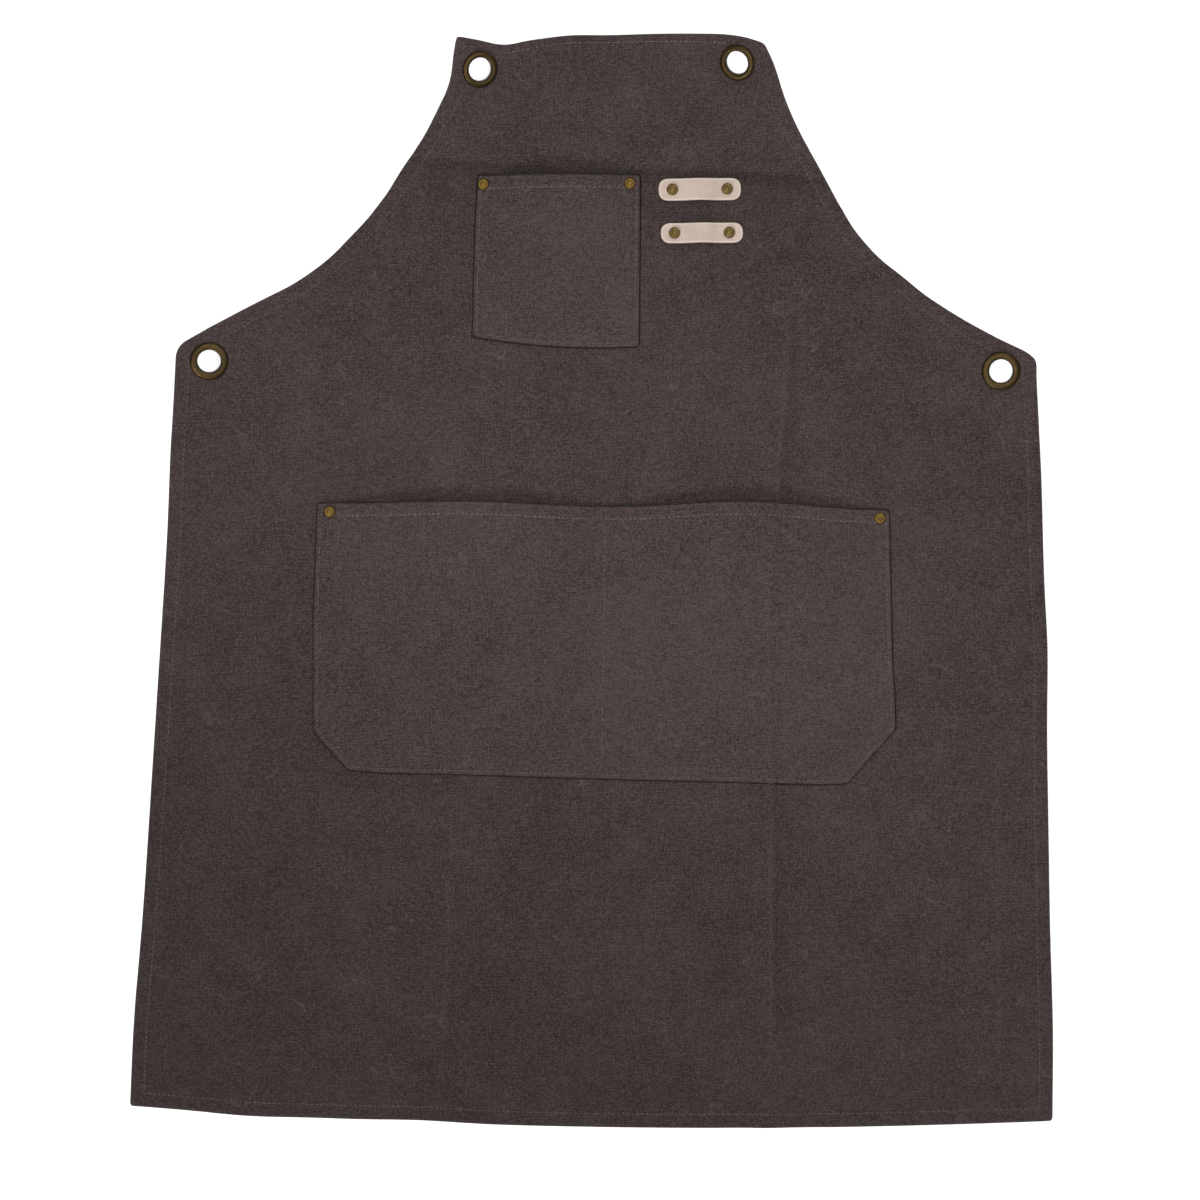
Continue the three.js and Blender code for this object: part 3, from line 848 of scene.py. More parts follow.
class Finish:
    """Adds and joins the nodes of one material."""

    def __init__(self, name):
        self.material = bpy.data.materials.new(name)
        self.material.use_nodes = True
        self.tree = self.material.node_tree
        self.surface = self.tree.nodes["Principled BSDF"]
        self.place = self.node("ShaderNodeTexCoord").outputs["Object"]

    def feed(self, socket, value):
        if isinstance(value, bpy.types.NodeSocket):
            self.tree.links.new(value, socket)
        elif socket.type == "RGBA" and len(value) == 3:
            socket.default_value = (*value, 1)
        else:
            socket.default_value = value

    def node(self, kind, inputs=None, **settings):
        made = self.tree.nodes.new(kind)
        for name, value in settings.items():
            setattr(made, name, value)
        for name, value in (inputs or {}).items():
            self.feed(made.inputs[name], value)
        return made

    def shade(self, **values):
        for name, value in values.items():
            self.feed(self.surface.inputs[name.replace("_", " ")], value)

    def math(self, operation, first, second=0.0, third=0.0, clamp=False):
        inputs = {0: first, 1: second, 2: third}
        return self.node("ShaderNodeMath", inputs, operation=operation, use_clamp=clamp).outputs[0]

    def blend(self, factor, first, second):
        """A mix of two colours. Its sockets share their names with those for other values, so they are
        found by number."""
        made = self.node("ShaderNodeMix", data_type="RGBA")
        for number, value in ((0, factor), (6, first), (7, second)):
            self.feed(made.inputs[number], value)
        return made.outputs[2]

    def spread(self, value, low, high, first=0.0, last=1.0):
        """A value that goes smoothly from first to last while another goes from low to high."""
        inputs = {"Value": value, "From Min": low, "From Max": high, "To Min": first, "To Max": last}
        return self.node("ShaderNodeMapRange", inputs, interpolation_type="SMOOTHSTEP").outputs[0]

    def stretched(self, x, y, z):
        """Places scaled along each axis: a share below 1 draws a pattern out along it."""
        inputs = {"Vector": self.place, "Scale": (x, y, z)}
        return self.node("ShaderNodeMapping", inputs).outputs[0]

    def noise(self, size, detail=2.0, rough=0.5, place=None):
        """Noise whose blobs are about size across."""
        inputs = {"Vector": place or self.place, "Scale": 1 / size, "Detail": detail, "Roughness": rough}
        return self.node("ShaderNodeTexNoise", inputs).outputs[0]

    def wear_and_shade(self):
        return self.node("ShaderNodeAttribute", attribute_name="wear_and_shade").outputs["Fac"]

    def bump(self, height, depth, strength=1.0):
        made = self.node("ShaderNodeBump", {"Height": height, "Strength": strength, "Distance": depth})
        self.feed(self.surface.inputs["Normal"], made.outputs[0])


def along_the_threads(finish):
    """Places on the cloth, measured along threads that wander a little."""
    inputs = {"Vector": finish.place, "Scale": 1 / (9 * MM), "Detail": 2.0}
    wander = finish.node("ShaderNodeTexNoise", inputs)
    offset = finish.node("ShaderNodeVectorMath", {0: wander.outputs["Color"], 1: (0.5, 0.5, 0.5)},
                         operation="SUBTRACT").outputs[0]
    return finish.node("ShaderNodeVectorMath", {0: offset, 1: (1.3 * MM,) * 3, 2: finish.place},
                       operation="MULTIPLY_ADD").outputs[0]


def thread_tones(finish, place, width, length):
    """A tone from 0 to 1 for each stretch of thread that shows between two others."""
    stretch = finish.node("ShaderNodeVectorMath", {0: place, 1: (width, length, 1.0)}, operation="SNAP")
    return finish.node("ShaderNodeTexWhiteNoise", {"Vector": stretch.outputs[0]},
                       noise_dimensions="2D").outputs["Value"]


def woven(finish, place, warp, weft):
    """Height of a plain weave from 0 to 1."""
    parts = finish.node("ShaderNodeSeparateXYZ", {0: place}).outputs
    across = finish.math("SINE", finish.math("MULTIPLY", parts[0], math.pi / warp))
    down = finish.math("SINE", finish.math("MULTIPLY", parts[1], math.pi / weft))
    over = finish.math("MULTIPLY", across, down)
    warp_lift = finish.math("MULTIPLY_ADD", over, 0.38, 0.62)
    weft_lift = finish.math("MULTIPLY_ADD", over, -0.38, 0.62)
    return finish.math(
        "MAXIMUM",
        finish.math("MULTIPLY", finish.math("ABSOLUTE", across), warp_lift),
        finish.math("MULTIPLY", finish.math("ABSOLUTE", down), weft_lift))


def canvas_finish(name, colour, faded, grain):
    """Stonewashed canvas: a plain weave whose threads differ in tone, short slubs, clouds, scuffs from the
    wash, darker colour towards the hem and the left, and shade painted where the stored attribute is
    below zero."""
    finish = Finish(name)
    place = along_the_threads(finish)
    weave = woven(finish, place, warp=1.0 * MM, weft=1.05 * MM)
    weft_tones = thread_tones(finish, place, width=1.25 * MM, length=0.75 * MM)
    warp_tones = thread_tones(finish, place, width=0.75 * MM, length=1.15 * MM)
    speckle = finish.noise(0.9 * MM, detail=1.0, rough=0.5)
    flecks = finish.noise(1.5 * MM, detail=2.0, rough=0.7)
    weft_slubs = finish.noise(1.1 * MM, detail=1.0, rough=0.5, place=finish.stretched(0.22, 1.0, 1.0))
    warp_slubs = finish.noise(1.1 * MM, detail=1.0, rough=0.5, place=finish.stretched(1.0, 0.3, 1.0))
    blotches = finish.noise(26 * MM, detail=3.0, rough=0.55)
    clouds = finish.noise(140 * MM, detail=2.0, rough=0.5)
    wander = finish.noise(24 * MM, detail=2.0, rough=0.55)
    ridges = finish.math("ABSOLUTE", finish.math("SUBTRACT", wander, 0.5))
    scuffs = finish.spread(ridges, 0.0, 0.022, 1.0, 0.0)
    scuffs = finish.math("MULTIPLY", scuffs, finish.spread(finish.noise(45 * MM), 0.5, 0.62))
    scuffs = finish.math("MULTIPLY", scuffs, finish.spread(finish.noise(6 * MM), 0.42, 0.6))
    wear_and_shade = finish.wear_and_shade()

    tones = finish.math("ADD", finish.spread(weft_tones, 0.3, 1.0, 0.12, 0.64),
                        finish.spread(warp_tones, 0.3, 1.0, 0.12, 0.54))
    pale = finish.math("MULTIPLY", finish.spread(weave, 0.1, 0.9, 0.0, grain), tones)
    for cause, low, high, share in (
            (flecks, 0.60, 0.78, 0.30 * grain),
            (weft_slubs, 0.46, 0.74, 0.12 * grain), (warp_slubs, 0.46, 0.74, 0.08 * grain),
            (blotches, 0.36, 0.70, 0.08), (clouds, 0.3, 0.7, 0.09), (scuffs, 0.0, 1.0, 0.34)):
        pale = finish.math("ADD", pale, finish.spread(cause, low, high, 0.0, share))
    rubbed = finish.math("MULTIPLY", finish.math("MAXIMUM", wear_and_shade, 0.0),
                         finish.spread(flecks, 0.35, 0.65, 0.25, 1.0))
    pale = finish.math("ADD", pale, finish.math("MULTIPLY", rubbed, 0.55), clamp=True)
    dyed = finish.blend(pale, colour, faded)
    # The colour darkens towards the hem and the left side
    upward = finish.node("ShaderNodeVectorMath", {0: finish.place, 1: (0.45, 1.0, 0.0)},
                         operation="DOT_PRODUCT")
    towards_hem = finish.spread(upward.outputs["Value"], -0.5, 0.1, 0.3, 0.0)
    darkened = dimmed(colour, 0.35)
    dyed = finish.blend(towards_hem, dyed, darkened)
    # Below zero the stored attribute paints shade, going over to the darker colour
    finish.shade(Base_Color=finish.blend(finish.spread(wear_and_shade, -0.6, 0.0, 1.0, 0.0), dyed, darkened),
                 Roughness=0.93, Sheen_Weight=0.10, Sheen_Roughness=0.5, Specular_IOR_Level=0.22)
    threads = finish.math("ADD", weft_slubs, warp_slubs)
    relief = finish.math("ADD", weave, finish.math("MULTIPLY", threads, 0.8))
    finish.bump(finish.math("ADD", relief, speckle), depth=0.22 * MM, strength=0.8)
    return finish.material


def thread_finish(name, colour):
    """Cotton thread, twisted and a little uneven in colour."""
    finish = Finish(name)
    tone = finish.noise(6 * MM, detail=2.0)
    darker = dimmed(colour, 0.55)
    fibres = finish.noise(0.35 * MM, detail=2.0)
    finish.shade(Base_Color=finish.blend(finish.spread(tone, 0.35, 0.65), darker, colour), Roughness=0.85,
                 Sheen_Weight=0.2)
    finish.bump(fibres, depth=0.08 * MM)
    return finish.material


def leather_finish(colour):
    """Undyed leather: fine pores, faint clouds, paler cut edges and shade painted dark at their foot."""
    finish = Finish("undyed_leather")
    pores = finish.node("ShaderNodeTexVoronoi", {"Vector": finish.place, "Scale": 1 / (0.8 * MM)},
                        feature="DISTANCE_TO_EDGE").outputs[0]
    clouds = finish.noise(12 * MM, detail=3.0, rough=0.55)
    fibres = finish.noise(1.6 * MM, detail=3.0, rough=0.7, place=finish.stretched(0.4, 1.0, 1.0))
    wear_and_shade = finish.wear_and_shade()
    darker = dimmed(colour, 0.88)
    paler = tuple(min(1.0, 1.15 * part + 0.1) for part in colour)
    painted_foot_shade = dimmed(colour, 0.06)
    skin = finish.blend(finish.spread(clouds, 0.3, 0.7), darker, colour)
    skin = finish.blend(finish.spread(fibres, 0.5, 0.8, 0.0, 0.2), skin, paler)
    skin = finish.blend(finish.math("MAXIMUM", wear_and_shade, 0.0), skin, paler)
    finish.shade(Base_Color=finish.blend(finish.spread(wear_and_shade, -0.7, 0.0, 1.0, 0.0), skin, painted_foot_shade),
                 Roughness=finish.spread(clouds, 0.3, 0.7, 0.62, 0.5), Specular_IOR_Level=0.35)
    finish.bump(finish.math("ADD", finish.spread(pores, 0.0, 0.18), finish.math("MULTIPLY", fibres, 0.6)),
                depth=0.05 * MM, strength=0.6)
    return finish.material


def brass_finish(name, colour, tarnish, gloss):
    """Antique brass: tarnish in patches, scuffs, the bare metal between them, and shade painted black where
    the stored attribute is below zero.
    """
    finish = Finish(name)
    patches = finish.noise(3.2 * MM, detail=4.0, rough=0.65)
    specks = finish.noise(0.7 * MM, detail=3.0, rough=0.7)
    dark = dimmed(colour, 0.38)
    skin = finish.blend(finish.spread(patches, 0.62 - tarnish, 0.86 - tarnish), colour, dark)
    skin = finish.blend(finish.spread(specks, 0.62, 0.78, 0.0, 0.5), skin, dark)
    # Shade painted black, in an eyelet's bore
    black = dimmed(colour, 0.08)
    skin = finish.blend(finish.spread(finish.wear_and_shade(), -1.0, 0.0, 1.0, 0.0), skin, black)
    finish.shade(Base_Color=skin, Metallic=1.0,
                 Roughness=finish.spread(patches, 0.3, 0.75, 0.5 - gloss, 0.7 - gloss))
    finish.bump(specks, depth=0.03 * MM, strength=0.6)
    return finish.material


# Sewing

def hem_line(outline, cloth):
    """Where the hem is stitched, nearer to the edge along the top of the bib."""
    top = outline[:, 1].max()
    near_top = smoothstep(outline[:, 1], top - 24 * MM, top - 14 * MM)
    return inset(outline, cloth.hem_inset + near_top * (cloth.top_inset - cloth.hem_inset))


def pocket_lines(outline, cloth):
    """A pocket's seam down one side, along its low edge and up the other, and the line below its mouth. The
    mouth ends at the points that are furthest up and to each side."""
    left, right = (outline[(outline @ way).argmax()] for way in ((-1.0, 1.6), (1.0, 1.6)))
    seam = inset_stretch(outline, left, right, cloth.seam_inset)
    mouth = inset_stretch(outline, right, left, cloth.mouth_inset)
    return seam, mouth


def inset_stretch(outline, first, last, depth):
    """A stretch of an outline moved inwards, a little clear of the outline's other edges."""
    stretch = between(outline, first, last)
    moved = stretch + left_of(stretch) * depth
    far, _ = path_distance(moved, closed(outline))
    return moved[far > CROWDED * min(depth, 2 * MM)]


def sewn(name, runs, thread):
    """Stitches along runs of (path, surface, True where they lie on the surface from below)."""
    stations = np.array([-1.0, -0.72, -0.3, 0.3, 0.72, 1.0])
    girth = np.array([0.45, 0.85, 1.0, 1.0, 0.85, 0.45])
    sink = np.array([-0.9, -0.2, 0.25, 0.25, -0.2, -0.9])
    sides = 6
    angles = 2 * math.pi * np.arange(sides) / sides
    points, faces, made = [], [], 0
    for path, surface, below in runs:
        length = lengths_along(path)[-1]
        middles = np.arange(0.5, int(length / thread.pitch)) * thread.pitch
        middles = middles + (0.5 * thread.pitch if below else 0.0)
        at = middles[:, None] + stations * thread.length / 2
        plan = sampled(path, path, at)
        level = heights(surface, plan.reshape(-1, 2), below).reshape(at.shape)
        level = level + (-1 if below else 1) * sink * thread.width / 2
        aside = turned_left(plan[:, -1] - plan[:, 0])[:, None, None]
        radius = (girth * thread.width / 2)[None, :, None, None]
        ring = np.empty((*at.shape, sides, 3))
        ring[..., :2] = plan[:, :, None] + radius * np.cos(angles)[:, None] * aside
        ring[..., 2] = np.maximum(level[:, :, None] + radius[..., 0] * 0.8 * np.sin(angles), 0)
        points.append(ring.reshape(-1, 3))
        one = np.arange(len(stations) * sides).reshape(len(stations), sides)
        after = np.roll(one, -1, axis=1)
        wall = np.stack([one[:-1], one[1:], after[1:], after[:-1]], axis=-1).reshape(-1, 4).tolist()
        ends = [one[0].tolist(), one[-1][::-1].tolist()]
        for k in range(len(middles)):
            base = made + k * one.size
            faces += [[base + v for v in face] for face in wall + ends]
        made += len(middles) * one.size
    return new_object(name, np.vstack(points), faces)


# Round metal

def turned(section, sides):
    """Points and faces of a half section turned about +Z. A section that starts and ends on the axis closes
    there, and any other closes on itself."""
    section = np.asarray(section, float)
    capped = section[0, 0] == 0
    body = section[1:-1] if capped else section
    angles = 2 * math.pi * np.arange(sides) / sides
    points = np.stack([np.outer(body[:, 0], np.cos(angles)), np.outer(body[:, 0], np.sin(angles)),
                       np.repeat(body[:, 1:], sides, axis=1)], axis=2).reshape(-1, 3)
    rings = np.arange(len(points)).reshape(len(body), sides)
    above = rings[1:] if capped else np.roll(rings, -1, axis=0)
    below = rings[:-1] if capped else rings
    faces = np.stack([below, np.roll(below, -1, axis=1), np.roll(above, -1, axis=1), above], axis=-1)
    faces = faces.reshape(-1, 4).tolist()
    if capped:
        points = np.vstack([points, [[0, 0, section[0, 1]], [0, 0, section[-1, 1]]]])
        low, high = len(points) - 2, len(points) - 1
        faces += [[low, b, a] for a, b in zip(rings[0], np.roll(rings[0], -1))]
        faces += [[high, a, b] for a, b in zip(rings[-1], np.roll(rings[-1], -1))]
        faces = [list(map(int, face)) for face in faces]
    return points, faces


def rolled_section(inner, rim, rise):
    """Half section of an eyelet: the barrel through the cloth, its rolled flange and its spread foot."""
    wall = EYELET_WALL
    section = [
        (inner + wall + 1.5 * MM, -2.55 * MM), (inner + 1.4 * MM, -3.1 * MM), (inner + 0.4 * MM, -2.9 * MM),
        (inner, -2.2 * MM), (inner, -0.8 * MM), (inner, 0.5 * MM), (inner + 0.2 * MM, rise - 0.8 * MM),
        (inner + 0.75 * MM, rise - 0.25 * MM), (inner + 1.7 * MM, rise), (rim - 2.0 * MM, rise - 0.1 * MM),
        (rim - 0.8 * MM, rise - 0.55 * MM), (rim - 0.2 * MM, rise - 1.2 * MM), (rim, 0.6 * MM),
        (rim - 0.35 * MM, 0.15 * MM), (rim - 1.6 * MM, 0.1 * MM), (inner + wall + 0.5 * MM, 0.1 * MM),
        (inner + wall, -0.6 * MM), (inner + wall, -2.1 * MM), (inner + wall + 1.0 * MM, -2.35 * MM),
    ]
    return smooth_through(section + section[:1], step=0.22 * MM)[:-1]


def washer_section(inner):
    """Half section of the washer behind an eyelet."""
    edge, rim = inner + EYELET_WALL + 0.4 * MM, WASHER_RIM
    return np.array([
        (edge, -2.05 * MM), (edge + 1.8 * MM, -2.1 * MM), (edge + 2.1 * MM, -2.6 * MM),
        (rim - 0.4 * MM, -2.7 * MM), (rim, -2.4 * MM), (rim, -1.6 * MM),
        (rim - 0.25 * MM, -1.35 * MM), (edge + 0.2 * MM, -1.35 * MM),
    ])


def rivet_section(seat, rise):
    """Half section of a rivet: its back, its post, and a domed cap with a ring pressed into it."""
    radius, post = RIVET_RADIUS, RIVET_POST
    cap = smooth_through([
        (radius - 0.5 * MM, seat - 0.15 * MM), (radius, seat + 0.25 * MM),
        (radius - 0.2 * MM, seat + 0.48 * rise), (0.82 * radius, seat + 0.78 * rise),
        (0.68 * radius, seat + 0.80 * rise), (0.6 * radius, seat + 0.72 * rise),
        (0.5 * radius, seat + 0.80 * rise), (0.28 * radius, seat + 0.96 * rise),
        (0, seat + rise)], step=0.2 * MM)
    back = [(0, 0), (2.6 * MM, 0), (3.3 * MM, 0.25 * MM), (3.5 * MM, 0.7 * MM),
            (3.3 * MM, 1.2 * MM), (post, 1.2 * MM), (post, seat - 0.15 * MM)]
    return np.vstack([back, cap])


def placed(points, matrix):
    points = np.column_stack([points, np.ones(len(points))])
    return (points @ np.array(matrix).T)[:, :3]


# Pieces

def eyelet_cut(hardware):
    """The round hole that is cut in the cloth for an eyelet, in the eyelet's own axes."""
    sides = 40
    turn = 2 * math.pi * np.arange(sides) / sides
    reach = hardware.eyelet_hole / 2 + EYELET_CUT_MARGIN
    return np.column_stack([reach * np.cos(turn), reach * np.sin(turn), 0 * turn])


def pressed_flat(points, face, seats):
    """A face pressed flat under the eyelets, and how firmly each of its points is, from 0 to 1."""
    pressed = np.zeros(len(face))
    for seat in seats:
        away = points - np.array(seat.translation.xy)
        up = seat.to_3x3().col[2]
        slope = away @ -np.array([up.x, up.y]) / up.z
        under = fading(np.linalg.norm(away, axis=1), *EYELET_PRESS_END)
        face = face + under * (seat.translation.z + slope - face)
        pressed = np.maximum(pressed, under)
    return face, pressed


class APRON_OT_lay_cloth(bpy.types.Operator):
    """Cuts the apron's body to the frame's outline, turns its hem, and lays it with its creases"""

    bl_idname = "apron.lay_cloth"
    bl_label = "Lay cloth"

    def execute(self, context):
        cloth, hardware = context.scene.apron_cloth, context.scene.apron_hardware
        outline = apron_outline()
        seats = [eyelet_frame(corner, hardware.eyelet_rise) for corner in CORNERS]
        holes = [placed(eyelet_cut(hardware), seat)[:, :2] for seat in seats]
        pockets = [pocket_outline(node) for node in POCKETS]
        strips = crease_strips() + [Strip(pocket, POCKET_EDGE_OFFSETS) for pocket in pockets]
        panel = cut_panel(outline, HEM_RINGS, CLOTH_SPACING, holes, strips)

        face, pressed = pressed_flat(panel.points, draped("apron_body", panel.points), seats)
        creases, rub = creased(panel.points)
        stitch, _ = path_distance(panel.points, spaced(closed(hem_line(outline, cloth)), 2 * MM))
        turned_in = smoothstep(panel.edge, *HEM_RISE) * fading(panel.edge, *HEM_FALL)
        hem = HEM_PUFF * turned_in + banded(HEM_DIP, stitch, MM)
        hem = hem + swells(panel.points, HEM_PUCKERS) * fading(panel.edge, *PUCKERS_END)
        loose = (1 - pressed) * (0.5 + 0.5 * smoothstep(panel.edge, *CLOTH_LOOSENS))
        face = face + loose * (creases + swells(panel.points, CLOTH_SWELLS)) + (1 - pressed) * hem

        thickness = turned_thickness(panel.edge, cloth.canvas, cloth.hem, cloth.hem_inset, run_out=1.6 * MM)
        thickness = thickness + banded(HEM_THINNING, stitch, MM)
        thickness = thickness + pressed * (cloth.canvas - thickness)
        piece = closed_panel("apron_cloth", panel, face, thickness, rounding=1.6 * MM, floor=0.0)
        # The rubbing of the hem and the creases, less the shade painted on the creases' lee sides
        wear_and_shade = np.maximum(banded(HEM_EDGE_RUB, panel.edge), banded(HEM_SEAM_RUB, panel.edge)) + rub
        # A thin line of shade is painted on the cloth beside each pocket
        for pocket in pockets:
            beside, _ = path_distance(panel.points, closed(pocket))
            beside = np.where(inside(panel.points, pocket), 0, beside)
            wear_and_shade = wear_and_shade - SHADE_PAINTED_BESIDE_POCKET * fading(beside, *POCKET_SHADE_END)
        add_wear_and_shade(piece, panel, wear_and_shade)
        material = canvas_finish("washed_canvas", cloth.colour, cloth.faded, grain=1.0)
        finish_piece(piece, material, "canvas", "apron_body")
        return {"FINISHED"}


class APRON_OT_sew_pockets(bpy.types.Operator):
    """Cuts the patch pockets to the frame's outlines and seats them on the cloth"""

    bl_idname = "apron.sew_pockets"
    bl_label = "Sew pockets"

    def execute(self, context):
        cloth = context.scene.apron_cloth
        material = canvas_finish("pocket_canvas", cloth.pocket_colour, cloth.faded, grain=1.2)
        body = surface_of("apron_cloth")
        for node in POCKETS:
            outline = pocket_outline(node)
            panel = cut_panel(outline, POCKET_RINGS, POCKET_SPACINGS[node], strips=crease_strips())
            seam, mouth = pocket_lines(outline, cloth)
            at_seam, _ = path_distance(panel.points, spaced(seam, LINE_STEP))
            at_mouth, _ = path_distance(panel.points, spaced(mouth, LINE_STEP))
            at_rivet = rivet_distance(panel.points, POCKET_RIVETS)
            creases, rub = creased(panel.points)
            lie = creases + swells(panel.points, CLOTH_SWELLS)
            own = swells(panel.points, POCKET_SWELLS) * smoothstep(at_seam, *POCKET_LOOSENS)
            dips = banded(POCKET_SEAM_DIP, at_seam, MM) + banded(POCKET_MOUTH_DIP, at_mouth, MM)
            dips = dips + banded(POCKET_RIVET_DIP, at_rivet, MM)
            face = draped(node, panel.points) + lie + own + dips + banded(POCKET_ROLL, panel.edge, MM)

            thickness = turned_thickness(panel.edge, cloth.canvas, cloth.pocket_edge, cloth.mouth_inset,
                                         run_out=1.4 * MM)
            seated = heights(body, panel.points) + thickness + POCKET_GAP
            sewn_down = banded(SEWN_DOWN, at_seam)
            face = np.maximum(face + sewn_down * (np.minimum(face, seated) - face), seated)
            along_mouth = inward(outline)[:, 1] < -0.7
            flare = np.where(along_mouth, MOUTH_FLARE, POCKET_FLARE)
            piece = closed_panel(f"{node}_cloth", panel, face, thickness, rounding=1.3 * MM, flare=flare)
            wear_and_shade = np.maximum(banded(POCKET_EDGE_RUB, panel.edge), banded(POCKET_SEAM_RUB, panel.edge))
            # Shade is also painted in a thin dark ring at the pocket's very edge
            wear_and_shade = wear_and_shade + POCKET_CREASE_SHARE * rub + banded(POCKET_EDGE_SHADE, panel.edge)
            # The foot of the pocket's edges is painted with shade, darkest along its mouth
            add_wear_and_shade(piece, panel, wear_and_shade, np.where(along_mouth, MOUTH_FOOT_SHADE, POCKET_FOOT_SHADE))
            finish_piece(piece, material, "pocket_canvas", node)
        return {"FINISHED"}


def clear_of_eyelets(line, hardware):
    """The runs of a closed line that no eyelet covers."""
    covered = np.zeros(len(line), bool)
    for corner in CORNERS:
        middle = np.array(eyelet_frame(corner, hardware.eyelet_rise).translation.xy)
        covered |= np.linalg.norm(line - middle, axis=1) < hardware.eyelet_flange / 2 + STITCH_MARGIN
    start = np.flatnonzero(covered)[0]
    covered = np.roll(covered, -start)
    runs = np.split(np.roll(line, -start, axis=0), np.flatnonzero(np.diff(covered.astype(int))) + 1)
    return [run for k, run in enumerate(runs) if k % 2 and len(run) >= SHORTEST_RUN]


class APRON_OT_sew_stitches(bpy.types.Operator):
    """Sews the hem, the pockets' seams and mouths, and the seam that halves the waist pocket"""

    bl_idname = "apron.sew_stitches"
    bl_label = "Sew stitches"

    def execute(self, context):
        cloth, thread = context.scene.apron_cloth, context.scene.apron_thread
        hardware = context.scene.apron_hardware
        pale_thread = thread_finish("pale_thread", thread.colour)
        seam_thread = thread_finish("seam_thread", thread.seam_colour)
        body = surface_of("apron_cloth")
        bare = clear_of_eyelets(spaced(closed(hem_line(apron_outline(), cloth)), LINE_STEP), hardware)
        top = max(bare, key=lambda run: run[:, 1].mean())
        hem = [run for run in bare if run is not top]

        mouths, seams = [], []
        for node in POCKETS:
            panel = surface_of(f"{node}_cloth")
            seam, mouth = (spaced(line, LINE_STEP) for line in pocket_lines(pocket_outline(node), cloth))
            seams += [(seam, panel, False), (seam, body, True)]
            mouths.append((mouth, panel, False))
        low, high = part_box("waist_pocket")
        head = (HALVING_HEAD, high.y - TACK_END)
        tack = spaced(np.array([(HALVING_HEAD, high.y - TACK_START), head]), LINE_STEP)
        halving = spaced(np.array([head, (HALVING_FOOT, low.y + HALVING_STOP)]), LINE_STEP)
        panel = surface_of("waist_pocket_cloth")
        mouths.append((tack, panel, False))
        seams += [(halving, panel, False), (halving, body, True)]

        both_sides = (False, True)
        for name, runs, material, slot in (
                ("hem_stitches", [(run, body, b) for run in hem for b in both_sides], seam_thread, "canvas"),
                ("bib_top_stitches", [(top, body, b) for b in both_sides], pale_thread, "canvas"),
                ("mouth_stitches", mouths, pale_thread, "pocket_canvas"),
                ("seam_stitches", seams, seam_thread, "pocket_canvas")):
            finish_piece(sewn(name, runs, thread), material, slot)
        return {"FINISHED"}


class APRON_OT_rivet_loops(bpy.types.Operator):
    """Cuts the two leather strips and bows them between their rivets"""

    bl_idname = "apron.rivet_loops"
    bl_label = "Leather loops"

    def execute(self, context):
        hardware = context.scene.apron_hardware
        material = leather_finish(hardware.leather_colour)
        for loop in LOOPS:
            node = f"leather_tab_{loop}"
            outline = eased_outline(node, spacing=0.8 * MM, reach=1.0 * MM)
            panel = cut_panel(outline, LEATHER_RINGS, LEATHER_SPACING)
            face = draped(node, panel.points)
            at_rivet = rivet_distance(panel.points, [f"{loop}_left", f"{loop}_right"])
            level = face[at_rivet < UNDER_RIVET].mean()
            face = level + LEATHER_BOW * (face - level)
            face = face + swells(panel.points, LEATHER_SWELLS) + banded(LEATHER_RIVET_DIP, at_rivet, MM)
            thickness = np.full(len(face), hardware.leather)
            piece = closed_panel(f"leather_loop_{loop}", panel, face, thickness,
                                 rounding=0.6 * MM, flare=LEATHER_FLARE)
            # The strip's rubbed edges, and shade painted on the foot of its edges
            add_wear_and_shade(piece, panel, banded(LEATHER_EDGE_RUB, panel.edge), LEATHER_FOOT_SHADE)
            finish_piece(piece, material, "leather", node)
        return {"FINISHED"}


class APRON_OT_set_eyelets(bpy.types.Operator):
    """Sets a rolled brass eyelet and its washer at each corner"""

    bl_idname = "apron.set_eyelets"
    bl_label = "Set eyelets"

    def execute(self, context):
        hardware = context.scene.apron_hardware
        material = brass_finish("antique_eyelet_brass", hardware.eyelet_colour, tarnish=0.04, gloss=0.12)
        inner, rise = hardware.eyelet_hole / 2, hardware.eyelet_rise
        for corner in CORNERS:
            seat = eyelet_frame(corner, rise)
            flange = hardware.bib_flange if corner.startswith("bib") else hardware.eyelet_flange
            sections = {"eyelet": rolled_section(inner, flange / 2, rise), "washer": washer_section(inner)}
            for name, section in sections.items():
                points, faces = turned(section, sides=96)
                piece = new_object(f"brass_{name}_{corner}", placed(points, seat), faces)
                radius = np.linalg.norm(points[:, :2], axis=1)
                # The bore and the edge next to it are painted black as shade
                store_wear_and_shade(piece, smoothstep(radius, inner, inner + BORE_SHADE) - 1)
                finish_piece(piece, material, "eyelet_brass", f"{name}_{corner}")
        return {"FINISHED"}


class APRON_OT_set_rivets(bpy.types.Operator):
    """Sets the domed rivets of the pockets and of the leather strips"""

    bl_idname = "apron.set_rivets"
    bl_label = "Set rivets"

    def execute(self, context):
        hardware = context.scene.apron_hardware
        groups = [
            ("pocket_rivet_brass", hardware.pocket_rivet_colour, POCKET_RIVETS),
            ("strip_rivet_brass", hardware.loop_rivet_colour, LOOP_RIVETS),
        ]
        for finish, colour, names in groups:
            material = brass_finish(finish, colour, tarnish=0.05, gloss=0.06)
            for name in names:
                low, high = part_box(f"rivet_{name}")
                seat = high.z - low.z - hardware.rivet_rise
                points, faces = turned(rivet_section(seat, hardware.rivet_rise), sides=48)
                middle = (low + high) / 2
                points = points + np.array([middle.x, middle.y, low.z])
                piece = new_object(f"brass_rivet_{name}", points, faces)
                finish_piece(piece, material, "rivet_brass", f"rivet_{name}")
        return {"FINISHED"}


